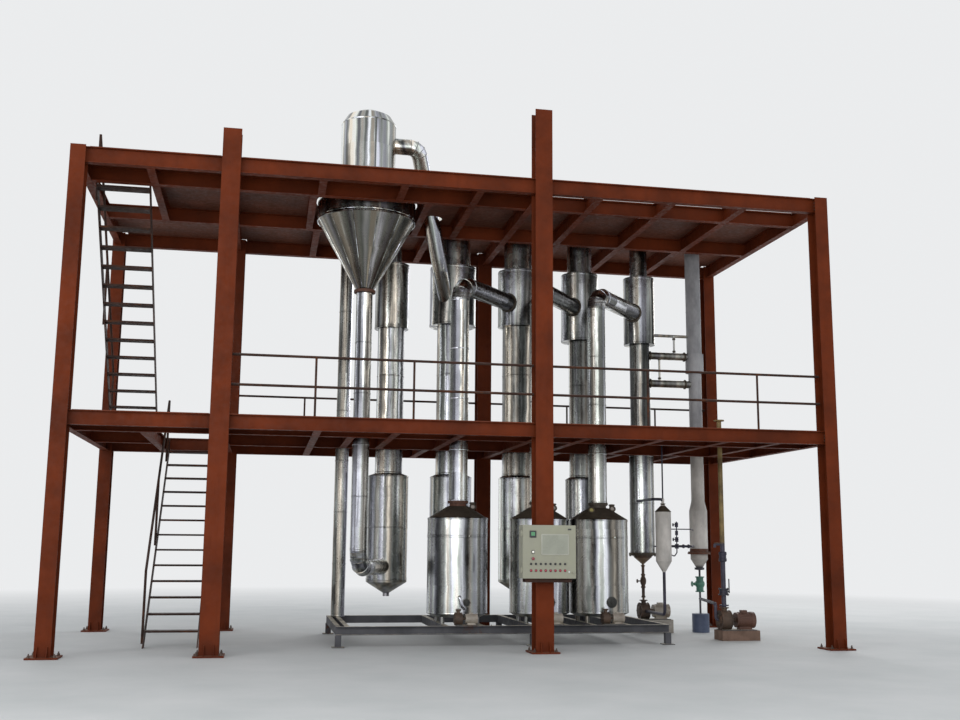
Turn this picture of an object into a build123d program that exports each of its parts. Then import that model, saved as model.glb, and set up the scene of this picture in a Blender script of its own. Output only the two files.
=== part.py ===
from build123d import *
import math
import os

os.makedirs("parts", exist_ok=True)

# Multiple effect evaporator: four clad calandrias, a condenser and a vent condenser behind,
# three vapour separators in front and one high separator, in a two-storey steel frame.
# Millimetres, +Z up, origin on the floor at the middle of the footprint, front towards -Y.

# Frame: bays along X, lines along Y, storeys along Z
left_bay = 2310
middle_bay = 5085
right_bay = 4995
frame_depth = 5000
inner_line = 900
back_line = 3000
lower_floor = 3600
upper_floor = 7705

column_width = 290
column_depth = 290
end_column_width = 230
column_flange = 16
column_web = 12
base_plate = 450
base_thickness = 25
anchor_spacing = 350
anchor_radius = 13
front_column_tops = (7705, 8150, 8900, 7705)
rear_column_top = 7705

lower_beam_depth = 220
upper_beam_depth = 250
beam_width = 125
beam_flange = 12
beam_web = 8
deck_thickness = 6
deck_clearance = 30

# Stairs in the left bay
stair_width = 850
stringer_depth = 200
stringer_thickness = 12
tread_depth = 240
tread_thickness = 30
lower_risers = 14
lower_going = 215
landing_edge = 4400
upper_risers = 15
upper_going = 252
lower_stair_x = -4550
upper_stair_x = -5645
lower_well_trimmer_x = -5100
upper_well_trimmer_x = -5130
rail_radius = 21
post_radius = 18
rail_height = 940
rail_post_shares = ((0.269, 0.592), (0.350, 0.761))

# Rows of vessels, as distances behind the front column line
separator_row = 2000
calandria_row = 3650

# Calandrias, first to fourth effect
calandria_x = (-880, 315, 1635, 2900)
calandria_upper_diameter = (515, 590, 615, 440)
calandria_lower_diameter = (760, 790, 740, 600)
calandria_step = 2970
step_slope = 45
calandria_bottom = 1000
belt_diameter = (650, 900, 800, 740)
belt_bottom = (5750, 5850, 5890, 5660)
belt_top = 7000
head_diameter = (350, 680, 560, 490)
head_top = 8050
head_slope = 60
head_dome = 70
bottom_nozzle_radius = 60
bottom_depth = 240
vessel_wall = 12
lug_reach = 150
lug_width = 120
lug_height = 160

# Condenser and vent condenser
condenser_x = 4150
condenser_lower_diameter = 480
condenser_diameter = 400
condenser_step = 3480
condenser_bottom = 1520
condenser_belt_diameter = 620
condenser_belt_bottom = 5650
condenser_head_diameter = 350
condenser_flange_radius = 265
condenser_flange_thickness = 45
condenser_dish_radius = 175
condenser_dish_bevel = 10
condenser_dish_bottom = 1430
condenser_cone_bottom = 1305
condenser_drain_radius = 22
vent_x = 5320
vent_top_diameter = 300
vent_collar_diameter = 360
vent_middle_diameter = 255
vent_lower_diameter = 350
vent_collar_top = 5500
vent_collar_bottom = 5130
vent_step_top = 2550
vent_step_bottom = 2350
vent_bottom = 1535
vent_flange_reach = 45
vent_flange_thickness = 30
vent_cone_inset = 8
vent_cone_start = 130
vent_neck = 1222
vent_neck_radius = 65
vent_neck_flange_reach = 30
vent_neck_flange_half = 20
vent_drain_radius = 20
vent_drain_bend = 60
drain_valve_height = 925
drain_valve_radius = 95
drain_valve_end_radius = 70
drain_valve_length = 270
seal_pot_diameter = 331
seal_pot_height = 355

# Riser beside the first calandria
riser_x = -1765
riser_diameter = 250
riser_elbow = 7250
riser_bend = 250

# High separator over the first effect
high_x = -1555
high_rim_diameter = 1750
high_rim_bottom = 7383
high_rim_top = 7760
high_shoulder_top = 8250
high_body_diameter = 990
high_body_top = 9200
high_dome = 260
high_cone_tip = 6110
high_cone_collar = 35
high_cone_collar_height = 40
high_outlet_diameter = 300
high_pipe_diameter = 290
high_pipe_turn = 1250
high_pipe_bend = 300

# Low separators, in front of calandrias two, three and four
separator_x = (175, 1645, 2735)
separator_diameter = 1050
separator_bottom = 490
separator_top = 2110
roof_cone_top = 2320
roof_cone_top_radius = 180
roof_neck_top = 2375
neck_diameter = 290
neck_flange_diameter = 350
neck_flange_thickness = 30
roof_nozzle_radius = 45
roof_nozzle_height = 130
roof_nozzle_out = 260
separator_dish = 90
leg_radius = 38
crossover_height = 1350
crossover_diameter = 360

# Vapour ducts
duct_diameter = 330
duct_wall = 5
duct_height = (6330, 6310, 6260)
duct_bend = 300
bend_pieces = 3
high_duct_diameter = 290
high_duct_bend = 200
high_duct_overrun = 150
high_duct_height = 8850
high_duct_turn_x = -640
high_duct_end = (95, 3300, 6470)
cross_pipe_heights = (4885, 5450, 5870)
cross_pipe_radii = (75, 75, 30)

# Receiver beside the condenser
receiver_x = 4155
receiver_row = 2500
receiver_diameter = 292
receiver_cone_top = 2420
receiver_top = 2290
receiver_bottom = 1380
receiver_cone_bottom = 1180
receiver_pipe_radius = 28
receiver_neck = 110
receiver_hanger_radius = 14
receiver_drain_bend = 80

# Skid under the separators
skid_left = -1950
skid_right = 3745
skid_front = 1150
skid_back = 4000
skid_top = 330
skid_channel_depth = 135
skid_channel_width = 80
skid_channel_wall = 9
foot_size = 100
foot_plate = 200
foot_plate_thickness = 12
leg_offset = 304

# Pumps: small transfer pumps on the skid, condensate and vacuum pumps on plinths
transfer_row = 1300
transfer_radius = 95
condensate_radius = 150
vacuum_radius = 165
condensate_plinth = 250
vacuum_plinth = 175
pump_base = 12
pump_nozzle = 60
casing_share = 1.1
shaft_share = 0.7
shaft_radius_share = 0.22
nozzle_radius_share = 0.3
motor_radius_share = 0.8
motor_length_share = 2.1
motor_foot_share = 0.7
plinth_before_share = 0.75
plinth_after_share = 3.6
plinth_width_share = 2.3

# Vacuum line with a ball valve beside the vent condenser
line_x = 5060
line_row = 1900
line_radius = 42
line_top = 3950
valve_height = 850
valve_body_radius = 75
valve_body_height = 120
valve_flange_radius = 95
valve_flange_thickness = 22
spindle_radius = 11
lever_length = 230
lever_width = 32
lever_thickness = 10
running_gap = 5
pin_gap = 0.3

# Control cabinet on the second front column
cabinet_width = 850
cabinet_height = 815
cabinet_bottom = 1153
cabinet_depth = 230
cabinet_standoff = 20
cabinet_wall = 3
door_depth = 25
door_wall = 3
handle_reach = 25
hinge_radius = 9
hinge_pin_radius = 5
hinge_length = 60
hinge_offset = 20
hinge_lug = 16
hinge_lug_gap = 1
hinge_inset = 130

# Places worked out from the sizes above
frame_length = left_bay + middle_bay + right_bay
column_x = (
    -frame_length / 2,
    -frame_length / 2 + left_bay,
    -frame_length / 2 + left_bay + middle_bay,
    frame_length / 2,
)
front_reach = (
    column_depth / 2 + cabinet_standoff + cabinet_depth + running_gap + door_depth + handle_reach
)
rear_reach = base_plate / 2
front_y = -(frame_depth + rear_reach - front_reach) / 2
inner_y = front_y + inner_line
back_y = front_y + back_line
rear_y = front_y + frame_depth
separator_y = front_y + separator_row
calandria_y = front_y + calandria_row


def save(part, name):
    part.label = name
    export_step(part, f"parts/{name}.step")


def i_profile(width, depth, flange, web):
    with BuildSketch(mode=Mode.PRIVATE) as profile:
        Rectangle(web, depth)
        with Locations((0, (depth - flange) / 2), (0, -(depth - flange) / 2)):
            Rectangle(width, flange)
    return profile.sketch


def column(width, top):
    with BuildPart() as piece:
        with BuildSketch(Plane.XY.offset(base_thickness)):
            add(i_profile(width, column_depth, column_flange, column_web))
        extrude(amount=top - base_thickness)
        with BuildSketch():
            Rectangle(base_plate, base_plate)
        extrude(amount=base_thickness)
        with GridLocations(anchor_spacing, anchor_spacing, 2, 2):
            Hole(anchor_radius)
    return piece.part


def beam(length, depth, cope):
    """I-beam along local X with its top at zero; cope cuts both flanges back at the ends."""
    with BuildPart() as piece:
        with BuildSketch(Plane.YZ.offset(-length / 2)):
            with Locations((0, -depth / 2)):
                Rectangle(beam_web, depth - 2 * beam_flange)
        extrude(amount=length)
        with BuildSketch(Plane.YZ.offset(-length / 2 + cope)):
            with Locations((0, -beam_flange / 2), (0, -depth + beam_flange / 2)):
                Rectangle(beam_width, beam_flange)
        extrude(amount=length - 2 * cope)
    return piece.part


def along_x(x_start, x_end, y, top, depth, cope):
    piece = beam(x_end - x_start, depth, cope)
    return piece.moved(Location(((x_start + x_end) / 2, y, top)))


def along_y(x, y_start, y_end, top, depth, cope):
    piece = beam(y_end - y_start, depth, cope)
    return piece.moved(Location((x, (y_start + y_end) / 2, top), (0, 0, 90)))


def gather(pieces):
    with BuildPart() as group:
        for piece in pieces:
            add(piece)
    return group.part


def tube(x, y, bottom, top, diameter, wall):
    with BuildPart() as piece:
        with BuildSketch(Plane.XY.offset(bottom)):
            with Locations((x, y)):
                Circle(diameter / 2)
                Circle(diameter / 2 - wall, mode=Mode.SUBTRACT)
        extrude(amount=top - bottom)
    return piece.part


def rod(x, y, bottom, top, radius):
    with BuildPart() as piece:
        with BuildSketch(Plane.XY.offset(bottom)):
            with Locations((x, y)):
                Circle(radius)
        extrude(amount=top - bottom)
    return piece.part


def bar(start, end, radius):
    with BuildPart() as piece:
        with BuildLine() as route:
            Line(start, end)
        with BuildSketch(Plane(origin=start, z_dir=route.line % 0)):
            Circle(radius)
        sweep(path=route.line)
    return piece.part


def rounded(points, bend):
    """Route whose corners are cut into the chords of an arc, as in a segmented bend."""
    route = [Vector(*point) for point in points]
    made = [route[0]]
    for before, corner, after in zip(route[:-2], route[1:-1], route[2:]):
        back = (before - corner).normalized()
        ahead = (after - corner).normalized()
        half = math.acos(back.dot(ahead)) / 2
        hub = corner + (back + ahead).normalized() * (bend / math.sin(half))
        first = corner + back * (bend / math.tan(half)) - hub
        last = corner + ahead * (bend / math.tan(half)) - hub
        swing = math.pi - 2 * half
        for number in range(bend_pieces + 1):
            share = number / bend_pieces
            made.append(
                hub
                + first * (math.sin((1 - share) * swing) / math.sin(swing))
                + last * (math.sin(share * swing) / math.sin(swing))
            )
    return made + [route[-1]]


def mitred_pipe(points, radius, wall):
    with BuildPart() as piece:
        with BuildLine() as route:
            Polyline(*points)
        with BuildSketch(Plane(origin=points[0], z_dir=route.line % 0)):
            Circle(radius)
        sweep(path=route.line, transition=Transition.RIGHT)
        with BuildSketch(Plane(origin=points[0], z_dir=route.line % 0)):
            Circle(radius - wall)
        sweep(path=route.line, transition=Transition.RIGHT, mode=Mode.SUBTRACT)
    return piece.part


def turned(x, y, outline):
    """Solid of revolution about a vertical line; outline holds (radius, height) corners."""
    with BuildPart() as piece:
        with BuildSketch(Plane.XZ):
            with BuildLine():
                Polyline(*outline, close=True)
            make_face()
        revolve(axis=Axis.Z)
    return piece.part.moved(Location((x, y, 0)))


def level_shift(low, high, wall):
    """How far the inner face of a level step lies above its outer face."""
    if low[1] != high[1]:
        return 0
    return wall if high[0] > low[0] else -wall


def shell_outline(steps, wall):
    """Closed outline of a thin wall inside a list of (radius, height) steps, bottom to top."""
    shifts = [level_shift(low, high, wall) for low, high in zip(steps[:-1], steps[1:])]
    inner = [
        (radius - wall, height + before + after)
        for (radius, height), before, after in zip(steps, [0] + shifts, shifts + [0])
    ]
    return list(steps) + list(reversed(inner))


# Columns, each with its base plate
front_columns = gather(
    column(width, top).moved(Location((x, front_y, 0)))
    for x, width, top in zip(
        column_x,
        (end_column_width, column_width, column_width, end_column_width),
        front_column_tops,
    )
)
save(front_columns, "front_columns")

rear_columns = gather(
    column(width, rear_column_top).moved(Location((x, rear_y, 0)))
    for x, width in zip(
        column_x, (end_column_width, column_width, column_width, end_column_width)
    )
)
save(rear_columns, "rear_columns")

# Beams of both floors
bays = list(zip(column_x[:-1], column_x[1:]))
web_half = beam_web / 2
column_web_half = column_web / 2
cope_cut = beam_width / 2 + running_gap
half_column = column_depth / 2


def outer_beams(y, top, depth):
    return gather(
        along_x(start + column_web_half, end - column_web_half, y, top, depth, 0)
        for start, end in bays
    )


for floor_name, floor_top, floor_depth in (
    ("lower", lower_floor, lower_beam_depth),
    ("upper", upper_floor, upper_beam_depth),
):
    save(outer_beams(front_y, floor_top, floor_depth), f"{floor_name}_front_beam")
    save(outer_beams(rear_y, floor_top, floor_depth), f"{floor_name}_rear_beam")


def inner_beams(spans, top, depth):
    return gather(
        along_x(start + web_half, end - web_half, y, top, depth, cope_cut)
        for start, end, y in spans
    )


lower_inner = inner_beams(
    [(start, end, inner_y) for start, end in bays]
    + [(column_x[0], lower_well_trimmer_x, back_y)]
    + [(lower_well_trimmer_x, column_x[1], front_y + landing_edge)]
    + [(start, end, back_y) for start, end in bays[1:]],
    lower_floor,
    lower_beam_depth,
)
save(lower_inner, "lower_inner_beams")

upper_inner = inner_beams(
    [(start, end, y) for start, end in bays for y in (inner_y, back_y)],
    upper_floor,
    upper_beam_depth,
)
save(upper_inner, "upper_inner_beams")

# Cross beams: one on each column line, and joists between the long beams
lower_front_joists = (-2395, -1155, -105, 1995, 3245, 4385, 5325)
lower_middle_joists = (-2395, -1805, -1155, -105, 1995, 3245, 4385, 5325)
lower_rear_joists = (-2395, -1400, -265, 2290, 3520, 4720)
upper_front_joists = (-5130, -2425, -1095, 175, 2225, 3525, 4825)
upper_middle_joists = (-2545, -575, 175, 2225, 3525, 4825)
upper_rear_joists = (-2395, -1400, -265, 2290, 3520, 4720)


def cross_beams(top, depth, front_x, middle_x, rear_x):
    lines = [
        along_y(x, front_y + half_column, rear_y - half_column, top, depth, 0)
        for x in column_x
    ]
    joists = [
        along_y(x, start + web_half, end - web_half, top, depth, cope_cut)
        for places, start, end in (
            (front_x, front_y, inner_y),
            (middle_x, inner_y, back_y),
            (rear_x, back_y, rear_y),
        )
        for x in places
    ]
    return lines + joists


lower_trimmers = [
    along_y(
        lower_well_trimmer_x,
        inner_y + web_half,
        rear_y - web_half,
        lower_floor,
        lower_beam_depth,
        cope_cut,
    )
]
lower_cross = gather(
    cross_beams(
        lower_floor,
        lower_beam_depth,
        lower_front_joists,
        lower_middle_joists,
        lower_rear_joists,
    )
    + lower_trimmers
)
save(lower_cross, "lower_cross_beams")

upper_trimmers = [
    along_y(
        upper_well_trimmer_x,
        inner_y + web_half,
        back_y - web_half,
        upper_floor,
        upper_beam_depth,
        cope_cut,
    )
]
upper_cross = gather(
    cross_beams(
        upper_floor,
        upper_beam_depth,
        upper_front_joists,
        upper_middle_joists,
        upper_rear_joists,
    )
    + upper_trimmers
)
save(upper_cross, "upper_cross_beams")

# Decks: plates with wells for the stairs and holes for what passes through
deck_left = column_x[0] - beam_width / 2
deck_right = column_x[3] + beam_width / 2
deck_front = front_y - beam_width / 2
deck_back = rear_y + beam_width / 2
calandria_holes = [
    (x, calandria_y, size) for x, size in zip(calandria_x, calandria_upper_diameter)
]
lower_holes = calandria_holes + [
    (condenser_x, calandria_y, condenser_diameter),
    (vent_x, calandria_y, vent_middle_diameter),
    (riser_x, calandria_y, riser_diameter),
    (high_x, separator_y, high_pipe_diameter),
    (line_x, front_y + line_row, 2 * line_radius),
]
lower_holes += [(x, separator_y, duct_diameter) for x in separator_x]
upper_holes = [
    (x, calandria_y, size) for x, size in zip(calandria_x, head_diameter)
]
upper_holes += [
    (condenser_x, calandria_y, condenser_head_diameter),
    (high_x, separator_y, high_rim_diameter),
]


def deck(top, wells, holes):
    with BuildPart() as plate:
        with BuildSketch(Plane.XY.offset(top)):
            with Locations(((deck_left + deck_right) / 2, (deck_front + deck_back) / 2)):
                Rectangle(deck_right - deck_left, deck_back - deck_front)
            for x_start, x_end, y_start, y_end in wells:
                with Locations(((x_start + x_end) / 2, (y_start + y_end) / 2)):
                    Rectangle(x_end - x_start, y_end - y_start, mode=Mode.SUBTRACT)
            for x, y, size in holes:
                with Locations((x, y)):
                    Circle(size / 2 + deck_clearance, mode=Mode.SUBTRACT)
            for x in column_x:
                for y in (front_y, rear_y):
                    with Locations((x, y)):
                        Rectangle(
                            column_width + deck_clearance,
                            column_depth + deck_clearance,
                            mode=Mode.SUBTRACT,
                        )
        extrude(amount=deck_thickness)
    return plate.part


half_flange = beam_width / 2
lower_wells = [
    (
        lower_well_trimmer_x + half_flange,
        column_x[1] - half_flange,
        inner_y + half_flange,
        front_y + landing_edge - half_flange,
    )
]
save(deck(lower_floor, lower_wells, lower_holes), "lower_deck")

upper_wells = [
    (
        column_x[0] + half_flange,
        upper_well_trimmer_x - half_flange,
        inner_y + half_flange,
        back_y - half_flange,
    ),
    (
        column_x[2] + half_flange,
        column_x[3] - half_flange,
        front_y + half_flange,
        inner_y - half_flange,
    ),
]
high_duct_start = Vector(high_duct_turn_x, separator_y, high_duct_height)
high_duct_foot = Vector(
    high_duct_end[0], front_y + high_duct_end[1], high_duct_end[2]
)
high_duct_run = high_duct_foot - high_duct_start
deck_crossing = high_duct_start + high_duct_run * (
    (high_duct_height - upper_floor) / (high_duct_height - high_duct_end[2])
)
crossing_size = high_duct_diameter * high_duct_run.length / abs(high_duct_run.Z)
upper_holes += [
    (vent_x, calandria_y, vent_top_diameter),
    (deck_crossing.X, deck_crossing.Y, crossing_size),
]
save(deck(upper_floor, upper_wells, upper_holes), "upper_deck")

# Handrails on both long sides of the lower deck
lower_deck_top = lower_floor + deck_thickness
upper_deck_top = upper_floor + deck_thickness
half_column_width = column_width / 2
half_end_column = end_column_width / 2


def handrail(x_start, x_end, post_shares, y):
    """Two rails and their posts between two columns, fused into one piece."""
    run = x_end - x_start
    with BuildPart() as piece:
        for height in (rail_height, rail_height / 2):
            with BuildSketch(Plane.YZ.offset(x_start)):
                with Locations((y, lower_floor + height)):
                    Circle(rail_radius)
            extrude(amount=run)
        with BuildSketch(Plane.XY.offset(lower_deck_top)):
            with Locations([(x_start + share * run, y) for share in post_shares]):
                Circle(post_radius)
        extrude(amount=rail_height - deck_thickness)
    return piece.part


rail_spans = [
    (column_x[1] + half_column_width, column_x[2] - half_column_width),
    (column_x[2] + half_column_width, column_x[3] - half_end_column),
]
deck_handrails = gather(
    handrail(start, end, shares, y)
    for y in (front_y, rear_y)
    for (start, end), shares in zip(rail_spans, rail_post_shares)
)
save(deck_handrails, "deck_handrails")

# Stairs: the lower flight climbs towards the back, the upper one towards the front
lower_top_y = front_y + landing_edge - half_flange
upper_top_y = inner_y + half_flange
flights = (
    (lower_stair_x, lower_top_y, 1, 0, lower_floor, lower_risers, lower_going),
    (upper_stair_x, upper_top_y, -1, lower_deck_top, upper_floor, upper_risers, upper_going),
)


def stringer(x, top_y, way, foot, top, risers, going):
    run = risers * going
    fall = stringer_depth * math.hypot(run, top - foot) / run
    toe = fall * run / (top - foot)
    with BuildPart() as piece:
        with BuildSketch(Plane.YZ.offset(x)):
            with BuildLine():
                Polyline(
                    (top_y - way * run, foot),
                    (top_y - way * (run - toe), foot),
                    (top_y, top - fall),
                    (top_y, top),
                    close=True,
                )
            make_face()
        extrude(amount=stringer_thickness)
    return piece.part


def flight_treads(x, top_y, way, foot, top, risers, going):
    rise = (top - foot) / risers
    width = stair_width - 2 * stringer_thickness
    with BuildPart() as piece:
        for number in range(1, risers):
            nose = top_y - way * (risers - number) * going
            with Locations(
                (x, nose + way * tread_depth / 2, foot + number * rise - tread_thickness / 2)
            ):
                Box(width, tread_depth, tread_thickness)
    return piece.part


def stair_rail(x, top_y, way, foot, top, risers, going):
    rise = (top - foot) / risers
    side = x - stair_width / 2 - rail_radius
    first = (side, top_y - way * (risers - 1) * going, foot + rise)
    last = (side, top_y - way * going, top - rise)
    middle = tuple((low + high) / 2 for low, high in zip(first, last))
    with BuildPart() as piece:
        raised = [(px, py, pz + rail_height) for px, py, pz in (first, last)]
        add(bar(raised[0], raised[1], rail_radius))
        for px, py, pz in (first, middle, last):
            add(rod(px, py, pz - stringer_depth, pz + rail_height, rail_radius))
    return piece.part


save(
    gather(
        stringer(x + shift, *rest)
        for x, *rest in flights
        for shift in (-stair_width / 2, stair_width / 2 - stringer_thickness)
    ),
    "stair_stringers",
)
save(gather(flight_treads(*flight) for flight in flights), "stair_treads")
save(gather(stair_rail(*flight) for flight in flights), "stair_handrails")


# Vessels
def lugs(x, y, radius, deck_top):
    with BuildPart() as piece:
        with Locations((x, y, deck_top + lug_height / 2)):
            with PolarLocations(radius - vessel_wall / 2 + lug_reach / 2, 4, start_angle=45):
                Box(lug_reach, lug_width, lug_height)
    return piece.part


def hung_shell(x, y, steps, support_radius, deck_top):
    """Clad shell of revolution with four lugs that rest on a deck."""
    with BuildPart() as piece:
        add(turned(x, y, shell_outline(steps, vessel_wall)))
        add(lugs(x, y, support_radius, deck_top))
    return piece.part


def closed_outline(steps, wall):
    """Outline of a cover whose last step lies on the axis; wall sets its thickness."""
    sign = 1 if steps[-1][1] > steps[0][1] else -1
    inner = [(max(radius - wall, 0), height - sign * wall) for radius, height in steps[1:]]
    return list(steps) + list(reversed(inner)) + [(steps[0][0] - wall, steps[0][1])]


calandria_sizes = zip(
    calandria_x,
    calandria_lower_diameter,
    calandria_upper_diameter,
    belt_diameter,
    belt_bottom,
)
for number, (x, lower_size, upper_size, belt_size, belt_low) in enumerate(
    calandria_sizes, start=1
):
    calandria_steps = [
        (lower_size / 2, calandria_bottom),
        (lower_size / 2, calandria_step - step_slope),
        (upper_size / 2, calandria_step),
        (upper_size / 2, belt_low),
        (belt_size / 2, belt_low),
        (belt_size / 2, belt_top),
    ]
    save(
        hung_shell(x, calandria_y, calandria_steps, upper_size / 2, lower_deck_top),
        f"calandria_{number}",
    )


def head(x, belt_size, head_size):
    steps = [
        (belt_size / 2, belt_top),
        (belt_size / 2, belt_top + head_slope / 3),
        (head_size / 2, belt_top + head_slope),
        (head_size / 2, head_top),
        (head_size / 4, head_top + head_dome * 0.75),
        (0, head_top + head_dome),
    ]
    return turned(x, calandria_y, closed_outline(steps, vessel_wall))


save(
    gather(head(*sizes) for sizes in zip(calandria_x, belt_diameter, head_diameter)),
    "calandria_heads",
)


def calandria_base(x, size):
    steps = [
        (size / 2, calandria_bottom),
        (size / 2, calandria_bottom - bottom_depth / 6),
        (bottom_nozzle_radius, calandria_bottom - bottom_depth),
        (bottom_nozzle_radius, calandria_bottom - bottom_depth - pump_nozzle),
        (0, calandria_bottom - bottom_depth - pump_nozzle),
    ]
    return turned(x, calandria_y, closed_outline(steps, vessel_wall))


save(
    gather(calandria_base(*sizes) for sizes in zip(calandria_x, calandria_lower_diameter)),
    "calandria_bottoms",
)

# Condenser and vent condenser
condenser_steps = [
    (condenser_lower_diameter / 2, condenser_bottom),
    (condenser_lower_diameter / 2, condenser_step - step_slope),
    (condenser_diameter / 2, condenser_step),
    (condenser_diameter / 2, condenser_belt_bottom),
    (condenser_belt_diameter / 2, condenser_belt_bottom),
    (condenser_belt_diameter / 2, belt_top),
]
condenser = hung_shell(
    condenser_x, calandria_y, condenser_steps, condenser_diameter / 2, lower_deck_top
)
save(condenser, "condenser")

condensate_axis = condensate_plinth + pump_base + condensate_radius
condensate_nozzle_top = condensate_axis + condensate_radius + pump_nozzle
condenser_bottom_steps = [
    (condenser_flange_radius, condenser_bottom),
    (condenser_flange_radius, condenser_bottom - condenser_flange_thickness),
    (condenser_dish_radius, condenser_bottom - condenser_flange_thickness - 1),
    (condenser_dish_radius - condenser_dish_bevel, condenser_dish_bottom),
    (condenser_drain_radius, condenser_cone_bottom),
    (condenser_drain_radius, condensate_nozzle_top),
    (0, condensate_nozzle_top),
]
save(
    turned(condenser_x, calandria_y, closed_outline(condenser_bottom_steps, vessel_wall)),
    "condenser_bottom",
)

vent_steps = [
    (vent_lower_diameter / 2, vent_bottom),
    (vent_lower_diameter / 2, vent_step_bottom),
    (vent_middle_diameter / 2, vent_step_top),
    (vent_middle_diameter / 2, vent_collar_bottom),
    (vent_collar_diameter / 2, vent_collar_bottom),
    (vent_collar_diameter / 2, vent_collar_top),
    (vent_top_diameter / 2, vent_collar_top),
    (vent_top_diameter / 2, head_top),
]
vent_condenser = hung_shell(
    vent_x, calandria_y, vent_steps, vent_middle_diameter / 2, lower_deck_top
)
save(vent_condenser, "vent_condenser")

condenser_head = head(condenser_x, condenser_belt_diameter, condenser_head_diameter)
vent_head_steps = [
    (vent_top_diameter / 2, head_top),
    (vent_top_diameter / 4, head_top + head_dome * 0.75),
    (0, head_top + head_dome),
]
vent_head = turned(vent_x, calandria_y, closed_outline(vent_head_steps, vessel_wall))
save(gather([condenser_head, vent_head]), "condenser_heads")

vent_drain_foot = seal_pot_height
vent_flange_radius = vent_lower_diameter / 2 + vent_flange_reach
vent_cone_radius = vent_lower_diameter / 2 - vent_cone_inset
vent_neck_flange_radius = vent_neck_radius + vent_neck_flange_reach
vent_cone_steps = [
    (vent_flange_radius, vent_bottom),
    (vent_flange_radius, vent_bottom - vent_flange_thickness),
    (vent_cone_radius, vent_bottom - vent_flange_thickness - 1),
    (vent_cone_radius, vent_bottom - vent_cone_start),
    (vent_neck_radius, vent_neck + vent_neck_flange_half),
    (vent_neck_flange_radius, vent_neck + vent_neck_flange_half),
    (vent_neck_flange_radius, vent_neck - vent_neck_flange_half),
    (vent_drain_radius, vent_neck - vent_flange_thickness),
    (vent_drain_radius, vent_drain_foot),
    (0, vent_drain_foot),
]
save(turned(vent_x, calandria_y, vent_cone_steps + [(0, vent_bottom)]), "vent_cone")

with BuildPart() as drain_valve:
    with Locations((vent_x, calandria_y, drain_valve_height)):
        Sphere(drain_valve_radius)
        Cylinder(drain_valve_end_radius, drain_valve_length)
        Cylinder(vent_drain_radius, drain_valve_length, mode=Mode.SUBTRACT)
save(drain_valve.part, "drain_valve")

seal_pot_steps = [
    (0, 0),
    (seal_pot_diameter / 2, 0),
    (seal_pot_diameter / 2, seal_pot_height),
    (0, seal_pot_height),
]
save(turned(vent_x, calandria_y, seal_pot_steps), "seal_pot")

# Riser pipe that feeds the first head
with BuildPart() as product_riser:
    add(
        mitred_pipe(
            rounded(
                [
                    (riser_x, calandria_y, skid_top),
                    (riser_x, calandria_y, riser_elbow),
                    (calandria_x[0], calandria_y, riser_elbow),
                ],
                riser_bend,
            ),
            riser_diameter / 2,
            duct_wall,
        )
    )
    add(
        rod(calandria_x[0], calandria_y, belt_top, head_top, head_diameter[0] / 2),
        mode=Mode.SUBTRACT,
    )
save(product_riser.part, "product_riser")

# High separator: body through the upper deck, cone below it, pipe down to the first effect
high_body_radius = high_body_diameter / 2
high_rim_radius = high_rim_diameter / 2
high_steps = [
    (high_rim_radius, high_rim_bottom),
    (high_rim_radius, high_rim_top),
    (high_body_radius, high_shoulder_top),
    (high_body_radius, high_body_top),
]
high_separator = hung_shell(
    high_x, separator_y, high_steps, high_rim_radius, upper_deck_top
)
save(high_separator, "high_separator")

high_roof_steps = [
    (high_body_radius, high_body_top),
    (high_body_radius * 0.82, high_body_top + high_dome * 0.55),
    (high_body_radius * 0.45, high_body_top + high_dome * 0.9),
    (0, high_body_top + high_dome),
]
save(
    turned(high_x, separator_y, closed_outline(high_roof_steps, vessel_wall)),
    "high_separator_roof",
)

high_outlet_radius = high_outlet_diameter / 2
high_collar_radius = high_outlet_radius + high_cone_collar
high_cone_steps = [
    (high_collar_radius, high_cone_tip - high_cone_collar_height),
    (high_collar_radius, high_cone_tip),
    (high_outlet_radius, high_cone_tip),
    (high_rim_radius, high_rim_bottom),
]
save(
    turned(high_x, separator_y, shell_outline(high_cone_steps, vessel_wall)),
    "high_separator_cone",
)

with BuildPart() as high_downpipe:
    add(
        mitred_pipe(
            rounded(
                [
                    (high_x, separator_y, high_cone_tip - high_cone_collar_height),
                    (high_x, separator_y, high_pipe_turn),
                    (calandria_x[0], calandria_y, high_pipe_turn),
                ],
                high_pipe_bend,
            ),
            high_pipe_diameter / 2,
            duct_wall,
        )
    )
    add(
        rod(
            calandria_x[0],
            calandria_y,
            calandria_bottom,
            calandria_step,
            calandria_lower_diameter[0] / 2,
        ),
        mode=Mode.SUBTRACT,
    )
save(high_downpipe.part, "high_separator_downpipe")

high_duct_goal = high_duct_foot + high_duct_run.normalized() * high_duct_overrun
with BuildPart() as vapour_duct_0:
    add(
        mitred_pipe(
            rounded(
                [
                    (high_x, separator_y, high_duct_height),
                    high_duct_start,
                    high_duct_goal,
                ],
                high_duct_bend,
            ),
            high_duct_diameter / 2,
            duct_wall,
        )
    )
    add(
        rod(high_x, separator_y, high_shoulder_top, high_body_top, high_body_radius),
        mode=Mode.SUBTRACT,
    )
    add(
        rod(
            calandria_x[1],
            calandria_y,
            belt_bottom[1],
            belt_top,
            belt_diameter[1] / 2,
        ),
        mode=Mode.SUBTRACT,
    )
save(vapour_duct_0.part.solids().sort_by(SortBy.VOLUME)[-1], "vapour_duct_0")

# Low separators with their roofs, bottoms, legs and links to the calandrias behind
separator_radius = separator_diameter / 2
neck_radius = neck_diameter / 2
for number, x in enumerate(separator_x, start=1):
    separator = tube(
        x, separator_y, separator_bottom, separator_top, separator_diameter, vessel_wall
    )
    save(separator, f"separator_{number}")

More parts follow.
